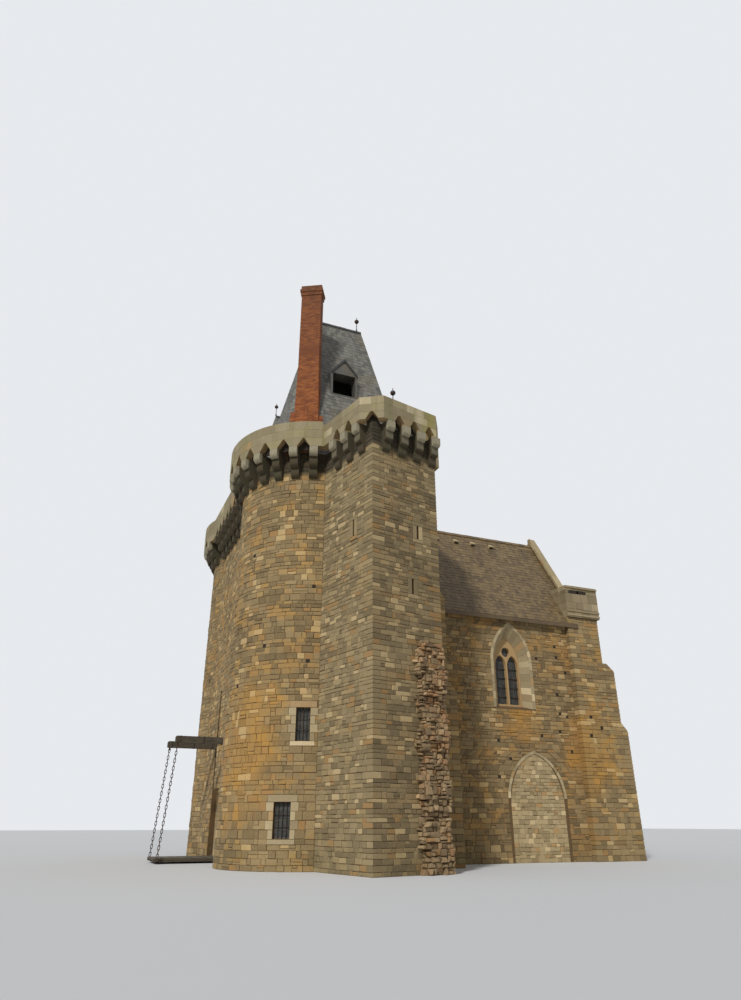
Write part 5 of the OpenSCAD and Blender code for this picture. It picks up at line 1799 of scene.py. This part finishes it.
@dataclass
class Chapel(Maker):
    """The chapel's walls, gable, piers and buttress."""

    # Putlog holes, each by its distance east of the near tower's axis and its height
    holes: Corners = (
        (13.11, 10.01), (13.15, 9.44), (13.62, 8.7), (12.97, 7.55), (13.43, 6.5), (13.02, 6.62), (12.9, 5.75),
        (11.8, 5.52), (13.49, 4.83), (9.3, 5.2), (9.9, 4.4), (11.9, 9.3), (9.2, 3.6))
    pier_holes: Corners = ((14.6, 6.5), (15.2, 6.0), (14.5, 5.6))
    # Rise of the walled-up arch as a share of its width, the width of its ring, and how far it lies back
    arch_rise: float = 0.66
    arch_ring: float = 0.14
    arch_back: float = 0.02
    # Depth of the window's reveal, and of the glass
    reveal: float = 0.43
    glass_in: float = 0.59
    # Height of a pier's dressed top
    cap: float = 1.8

    def build(self) -> None:
        """Lay the stones."""
        lay = self.layout
        rough, wall = self.rough, self.finishes.wall
        for side, face, sign, seed in (("south", lay.chapel_south, -1, 61),
                                       ("north", lay.chapel_north, 1, 62)):
            fronts = plane_regions([f"chapel_{side}_wall", "chapel_gable_wall"],
                                   lambda n, m, f=face, g=sign: n[1] * g > 0.9 and abs(m[1] - f) < 0.6)
            fronts.sort(key=lambda r: -len(r.spans(6.0)) - (r.high - r.low) * 0.1)
            main, fields = fronts[0], [r for r in fronts[1:] if r.high < 6.5]
            fields = [self._flatten(main, back) for back in fields]
            self._window(main)
            if side == "south":
                for x, v in self.holes:
                    self.trim.putlog(main, main.u_at(lay.near[0] + x, face), v)
            Masonry(f"chapel_{side}_stones", [main], WALLING, rough, seed).build(self.finishes.chapel)
            if fields:
                Masonry("walled_arch_stones", fields, FILLING, rough, 69).build(self.finishes.filling)
        gable = plane_regions(["chapel_gable_wall"], lambda n, m: n[0] > 0.9 and m[0] > lay.gable_x - 0.05)
        Masonry("chapel_gable_stones", gable, WALLING, rough, 67).build(wall)
        self._gable_head()
        self._piers()
        faces = plane_regions(["corner_buttress"], lambda n, m: abs(n[2]) < 0.95 and n[0] > -0.5)
        Masonry("buttress_stones", faces, WALLING, rough, 66).build(wall)

    def _flatten(self, main: Region, back: Region) -> Region:
        """Give the walled-up arch its low head: stones over the top of the recess, a ring and the filling.

        Args:
            main: The wall's face, with the recess as a hole.
            back: The recess's back.

        Returns:
            The face of the filling, nearly flush with the wall.
        """
        recess = max((g for g in main.openings() if g.rise and g.foot < 3.0), key=lambda g: g.high - g.low)
        low, high = recess.low - 0.05, recess.high + 0.05
        foot, top = recess.spring - 0.3, recess.top + 0.05
        main.triangles = np.concatenate([main.triangles, [[(low, foot), (high, foot), (high, top)],
                                                          [(low, foot), (high, top), (low, top)]]])
        rise = (recess.high - recess.low) * self.arch_rise
        arch = Gap(recess.low, recess.high, recess.foot, recess.spring, rise)
        normal = main.surface.normal
        depth = abs(float((back.surface.origin - main.surface.origin) @ normal))
        deep = Plane(main.surface.origin - normal * depth, normal)
        self.trim.head(deep, arch, 9, self.arch_ring, depth + 0.03)
        main.gaps.append(arch.grown(self.arch_ring))
        outline = [(arch.low, arch.foot), *arch.head(16), (arch.high, arch.foot)]
        centre = (arch.centre, arch.spring)
        fan = np.array([[centre, a, b] for a, b in zip(outline, outline[1:] + outline[:1])])
        return Region(Plane(main.surface.origin - normal * self.arch_back, normal), fan)

    def _window(self, region: Region) -> None:
        """The traceried window's reveal, ring and leads."""
        low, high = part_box("chapel_tracery")
        opening = max((g for g in region.openings() if g.rise and g.foot > 3.0), key=lambda g: g.rise)
        self.trim.ring(region, opening, 0.16, 0.03)
        ends = sorted(region.u_at(x, region.surface.origin[1]) for x in (low.x, high.x))
        inner = Gap(ends[0], ends[1], low.z, opening.spring, (ends[1] - ends[0]) * 0.866)
        splay = Splay(opening, inner, region.surface, self.reveal)
        count = round(splay.length / 0.34)
        blocks = Blocks()
        rng = random.Random(8)
        for k in range(count):
            u0, u1 = k * splay.length / count + 0.004, (k + 1) * splay.length / count - 0.004
            blocks.lay(rect(u0, u1, 0.0, self.reveal), 0.014, rng.random())
        self.trim.stone.add(self.dressed, splay, blocks, 9, 0.05)
        width = ends[1] - ends[0]
        plane = spot(region.surface, inner.centre, inner.foot, self.glass_in)
        iron, tall = self.trim.iron, inner.spring - inner.foot
        for k in range(1, 7):
            v = k * 0.46
            if v < inner.top - inner.foot - 0.4:
                at = Gap(-width / 2, width / 2, 0.0, tall, inner.rise).at(v)
                self.trim.lay(iron, plane, rect(at[0] + 0.02, at[1] - 0.02, v - 0.012, v + 0.012), 0.03)
        for k in range(-6, 7):
            u = k * width / 13
            self.trim.lay(iron, plane, rect(u - 0.004, u + 0.004, 0.1, tall), 0.012)

    def _gable_head(self) -> None:
        """Coping stones on the gable."""
        work = Patchwork()
        slopes = plane_regions(["chapel_gable_coping"], lambda n, m: 0.2 < n[2] < 0.9 and abs(n[0]) < 0.1)
        style = Coursing(0.7, 1.2, 0.008, (0.012, 0.02), 0.15, 0.1, 0.003, (0.7, 0.5), 0.0)
        for i, region in enumerate(slopes):
            Masonry("coping", [region], style, self.dressed, 71 + i).patch(work)
        fronts = plane_regions(["chapel_gable_coping"], lambda n, m: n[0] < -0.9, 0.1)
        Masonry("coping", fronts, ASHLAR, self.dressed, 75).patch(work)
        work.build("gable_coping_stones", self.finishes.pale, slot="pale_stone")

    def _piers(self) -> None:
        """Rough stones below, smooth blocks at the top with a broken niche."""
        lay = self.layout
        cap_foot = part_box("corner_piers")[1].z - self.cap
        rough, smooth = Patchwork(), Patchwork()
        shaft, tops = [], []
        for face in plane_regions(["corner_piers"], lambda n, m: abs(n[2]) < 0.9, 0.1):
            upright = abs(face.surface.normal[2]) < 0.05
            level = face.triangles[:, :, 1].mean(1) if upright else np.zeros(len(face.triangles))
            for some, into in ((level < cap_foot, shaft), (level >= cap_foot, tops)):
                if some.any():
                    into.append(Region(face.surface, face.triangles[some]))
        south = [r for r in shaft if r.surface.normal[1] < -0.9 and
                 abs(float(r.surface.origin[1]) - lay.chapel_south) < 1.2]
        for face in south:
            for x, v in self.pier_holes:
                if face.low < v < face.high:
                    self.trim.putlog(face, face.u_at(lay.near[0] + x, lay.chapel_south), v, 0.17)
        for face in tops:
            if face.surface.normal[1] < -0.9 and abs(float(face.surface.origin[1]) - lay.chapel_south) < 1.2:
                self._niche(face)
        Masonry("pier", shaft, WALLING, self.rough, 63).patch(rough)
        Masonry("cap", tops, PIER_ASHLAR, self.dressed, 77).patch(smooth)
        rough.build("pier_stones", self.finishes.wall)
        smooth.build("pier_cap_stones", self.finishes.weathered)

    def _niche(self, face: Region) -> None:
        """The broken slot under the top stone, laid as dark plates of painted shade, and the mouldings below
        it.
        """
        spans = face.spans(face.high - 0.3)
        low, high = spans[0][0], spans[-1][1]
        width = high - low
        foot = face.high - 0.52
        slots = ((low + 0.10 * width, low + 0.42 * width, foot, foot + 0.26),
                 (low + 0.36 * width, low + 0.66 * width, foot + 0.08, foot + 0.3))
        # Dark plates as painted shade of the slot
        for a, b, z0, z1 in slots:
            face.gaps.append(Gap(a, b, z0, z1))
            self.trim.dark.one(self.dressed, face.surface, rect(a, b, z0, z1), 0.004, 0.0, 2)
        for k, v in enumerate((face.low + 0.12, face.low + 0.34, face.high - 0.1)):
            corners = rect(low - 0.03, high + 0.03, v - 0.045, v + 0.045)
            self.trim.lay(self.trim.stone, face.surface, corners, 0.06 + 0.02 * (k == 2))


@dataclass
class Bridge(Maker):
    """Planks and straps of the drawbridge."""

    # Half the planks' length, their thickness and their widths
    half: float = 1.05
    plank: float = 0.012
    plank_widths: Pair = (0.17, 0.26)
    # Thickness and half the width of a strap, and the height of the beam that it goes round
    strap: float = 0.008
    strap_half: float = 0.03
    beam: float = 0.30

    def build(self) -> None:
        """Board the deck and strap the arms."""
        low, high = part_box("bridge_deck")
        middle = (low.y + high.y) / 2
        self._planks(low.x, high.x, middle)
        straps = Patchwork()
        arm_low, arm_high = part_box("bridge_arms")
        tri = node_triangles(["bridge_arms"]).reshape(-1, 3)
        for side in (-1, 1):
            mine = tri[(tri[:, 1] - middle) * side > 0]
            front = mine[np.abs(mine[:, 0] - arm_low.x) < 0.3]
            ends = (front[:, 1].min(), front[:, 1].max(), mine[:, 2].max() - self.beam, mine[:, 2].max())
            for x in (arm_low.x + 0.22, arm_low.x + 1.3, arm_low.x + 2.2, arm_high.x - 0.3):
                self._strap(straps, x, ends)
        straps.build("arm_straps", self.finishes.iron, Body.ARMS, "iron")

    def _planks(self, start: float, stop: float, middle: float) -> None:
        """Lay the planks on the deck.

        Args:
            start: X of the deck's free end.
            stop: X of its hinge.
            middle: Y of its middle.
        """
        top = max(t[:, 2].max() for t in node_triangles(["bridge_deck"]) if np.ptp(t[:, 2]) < 1e-4 and
                  t[:, 0].mean() < start + 1.5)
        plane = Plane(np.array([0.0, 0.0, top]), UP.copy())
        plane.along, plane.up = np.array([0.0, -1.0, 0.0]), np.array([1.0, 0.0, 0.0])
        rng = random.Random(3)
        blocks = Blocks()
        place, end = start + 0.01, stop - 0.26
        while place < end - 0.1:
            width = min(rng.uniform(*self.plank_widths), end - place)
            corners = rect(-middle - self.half, -middle + self.half, place + 0.005, place + width - 0.005)
            blocks.lay(corners, self.plank, rng.random())
            place += width
        boards = Patchwork()
        boards.add(self.dressed, plane, blocks, 5, 0.1)
        boards.build("deck_boards", self.finishes.wood, Body.DECK, "timber")

    def _strap(self, straps: Patchwork, x: float, ends: Sequence[float]) -> None:
        """Put one iron strap round an arm.

        Args:
            straps: The mesh that it joins.
            x: Its place.
            ends: The arm's lowest and highest Y, and its lowest and highest Z.
        """
        y0, y1, z0, z1 = ends
        half, thick = self.strap_half, self.strap
        for way, y in ((-1.0, y0), (1.0, y1)):
            face = Plane(np.array([0.0, y, 0.0]), np.array([0.0, way, 0.0]))
            u = x * float(face.along[0])
            straps.one(self.dressed, face, rect(u - half, u + half, z0, z1), thick, 0.5, 6)
        for way, z in ((1.0, z1), (-1.0, z0)):
            face = Plane(np.array([0.0, 0.0, z]), np.array([0.0, 0.0, way]))
            face.along = np.array([1.0, 0.0, 0.0])
            face.up = np.cross(face.normal, face.along)
            v0, v1 = sorted((y0 * float(face.up[1]), y1 * float(face.up[1])))
            straps.one(self.dressed, face, rect(x - half, x + half, v0 - thick, v1 + thick), thick, 0.5, 6)


@dataclass
class Plain:
    """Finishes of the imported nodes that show."""

    finishes: Finishes

    def paint(self) -> None:
        """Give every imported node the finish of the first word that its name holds, or else mortar."""
        f = self.finishes
        rules = (("near_tower_corbels", f.near_corbel), ("far_tower_corbels", f.far_corbel),
                 ("turret_corbels", f.turret_corbel), ("corbels", f.corbel), ("parapet", f.ashlar),
                 ("wall_walk", f.ashlar), ("ground_floor", f.ashlar), ("coping", f.pale), ("tracery", f.pale),
                 ("chapel_roof", f.brown_slate), ("finials", f.iron), ("roof", f.slate), ("chimney", f.lime),
                 ("timber_floors", f.boards), ("bridge_chains", f.iron), ("bridge", f.wood),
                 ("glass", f.glass))
        for name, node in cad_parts.items():
            node.data.materials.clear()
            node.data.materials.append(next((finish for word, finish in rules if word in name), f.mortar))


@dataclass
class Studio:
    """The floor, the light and the camera at the photograph's viewing angle."""

    layout: Layout
    # The camera's place from the near tower's axis, its angles in degrees and its lens in millimetres
    place: Colour = (-9.79, -31.07, 1.6)
    pitch: float = 24.84
    heading: float = -22.6
    lens: float = 25.2
    sensor: float = 36.0
    # How far the camera sees, and the floor's width
    sight: float = 500.0
    floor: float = 400.0
    # The sun's strength, its spread and its angles in degrees, and the sky's strength
    sun: float = 2.2
    spread: float = 6.0
    height: float = 52.0
    turn: float = -43.0
    sky: float = 0.3

    def build(self) -> None:
        """Add the camera, the light and the floor."""
        scene = bpy.context.scene
        camera = bpy.data.objects.new("camera", bpy.data.cameras.new("camera"))
        camera.data.lens = self.lens
        camera.data.sensor_width = self.sensor
        camera.data.clip_end = self.sight
        near = self.layout.near
        camera.location = (near[0] + self.place[0], near[1] + self.place[1], self.place[2])
        camera.rotation_euler = (math.radians(90 + self.pitch), 0.0, math.radians(self.heading))
        scene.collection.objects.link(camera)
        scene.camera = camera
        scene.view_settings.view_transform = "Standard"
        self._world(scene)
        sun = bpy.data.objects.new("sun", bpy.data.lights.new("sun", "SUN"))
        sun.data.energy = self.sun
        sun.data.angle = math.radians(self.spread)
        sun.rotation_euler = (math.radians(self.height), 0.0, math.radians(self.turn))
        scene.collection.objects.link(sun)
        self._floor()

    def _world(self, scene: bpy.types.Scene) -> None:
        """A soft sky that shows pale to the camera and in reflections."""
        world = bpy.data.worlds.new("studio")
        world.use_nodes = True
        tree = world.node_tree
        tree.nodes.clear()
        kinds = ("OutputWorld", "Background", "Background", "LightPath", "MixShader", "Math")
        out, lit, seen, path, mix, most = (tree.nodes.new(f"ShaderNode{kind}") for kind in kinds)
        most.operation = "MAXIMUM"
        lit.inputs[0].default_value = (0.86, 0.91, 1.0, 1.0)
        lit.inputs[1].default_value = self.sky
        seen.inputs[0].default_value = (0.80, 0.82, 0.85, 1.0)
        seen.inputs[1].default_value = 1.0
        tree.links.new(path.outputs["Is Camera Ray"], most.inputs[0])
        tree.links.new(path.outputs["Is Glossy Ray"], most.inputs[1])
        tree.links.new(most.outputs[0], mix.inputs[0])
        tree.links.new(lit.outputs[0], mix.inputs[1])
        tree.links.new(seen.outputs[0], mix.inputs[2])
        tree.links.new(mix.outputs[0], out.inputs[0])
        scene.world = world

    def _floor(self) -> None:
        """The plain pale floor."""
        Mode.clear()
        bpy.ops.mesh.primitive_plane_add(size=self.floor, location=(0.0, 0.0, 0.0))
        floor = bpy.context.object
        floor.name = "studio_floor"
        shader = Shader("studio_floor")
        tint = shader.noise(0.05, 2.0)
        colour = shader.mix(tint, (0.70, 0.70, 0.69), (0.74, 0.74, 0.73))
        floor.data.materials.append(shader.finish(colour, None, 0.0, 0.9))


def main() -> None:
    """Build all the parts in order."""
    logging.basicConfig(level=logging.INFO, format="%(message)s")
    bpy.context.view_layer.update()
    layout = Layout.read()
    Studio(layout).build()
    finishes = Finishes(layout)
    templates = Templates()
    Plain(finishes).paint()
    trim = Trim(templates)
    for maker in (Towers, Turret, Parapets, Roofs, Chimney, Chapel, Bridge):
        maker(layout, finishes, templates, trim).build()
    trim.build(finishes)
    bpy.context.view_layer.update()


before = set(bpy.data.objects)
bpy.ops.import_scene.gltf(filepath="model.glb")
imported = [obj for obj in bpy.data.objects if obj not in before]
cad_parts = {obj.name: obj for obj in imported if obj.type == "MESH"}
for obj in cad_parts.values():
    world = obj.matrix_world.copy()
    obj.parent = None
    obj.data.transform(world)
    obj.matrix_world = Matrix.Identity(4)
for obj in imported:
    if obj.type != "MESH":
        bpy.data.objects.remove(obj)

if __name__ == "__main__":
    main()
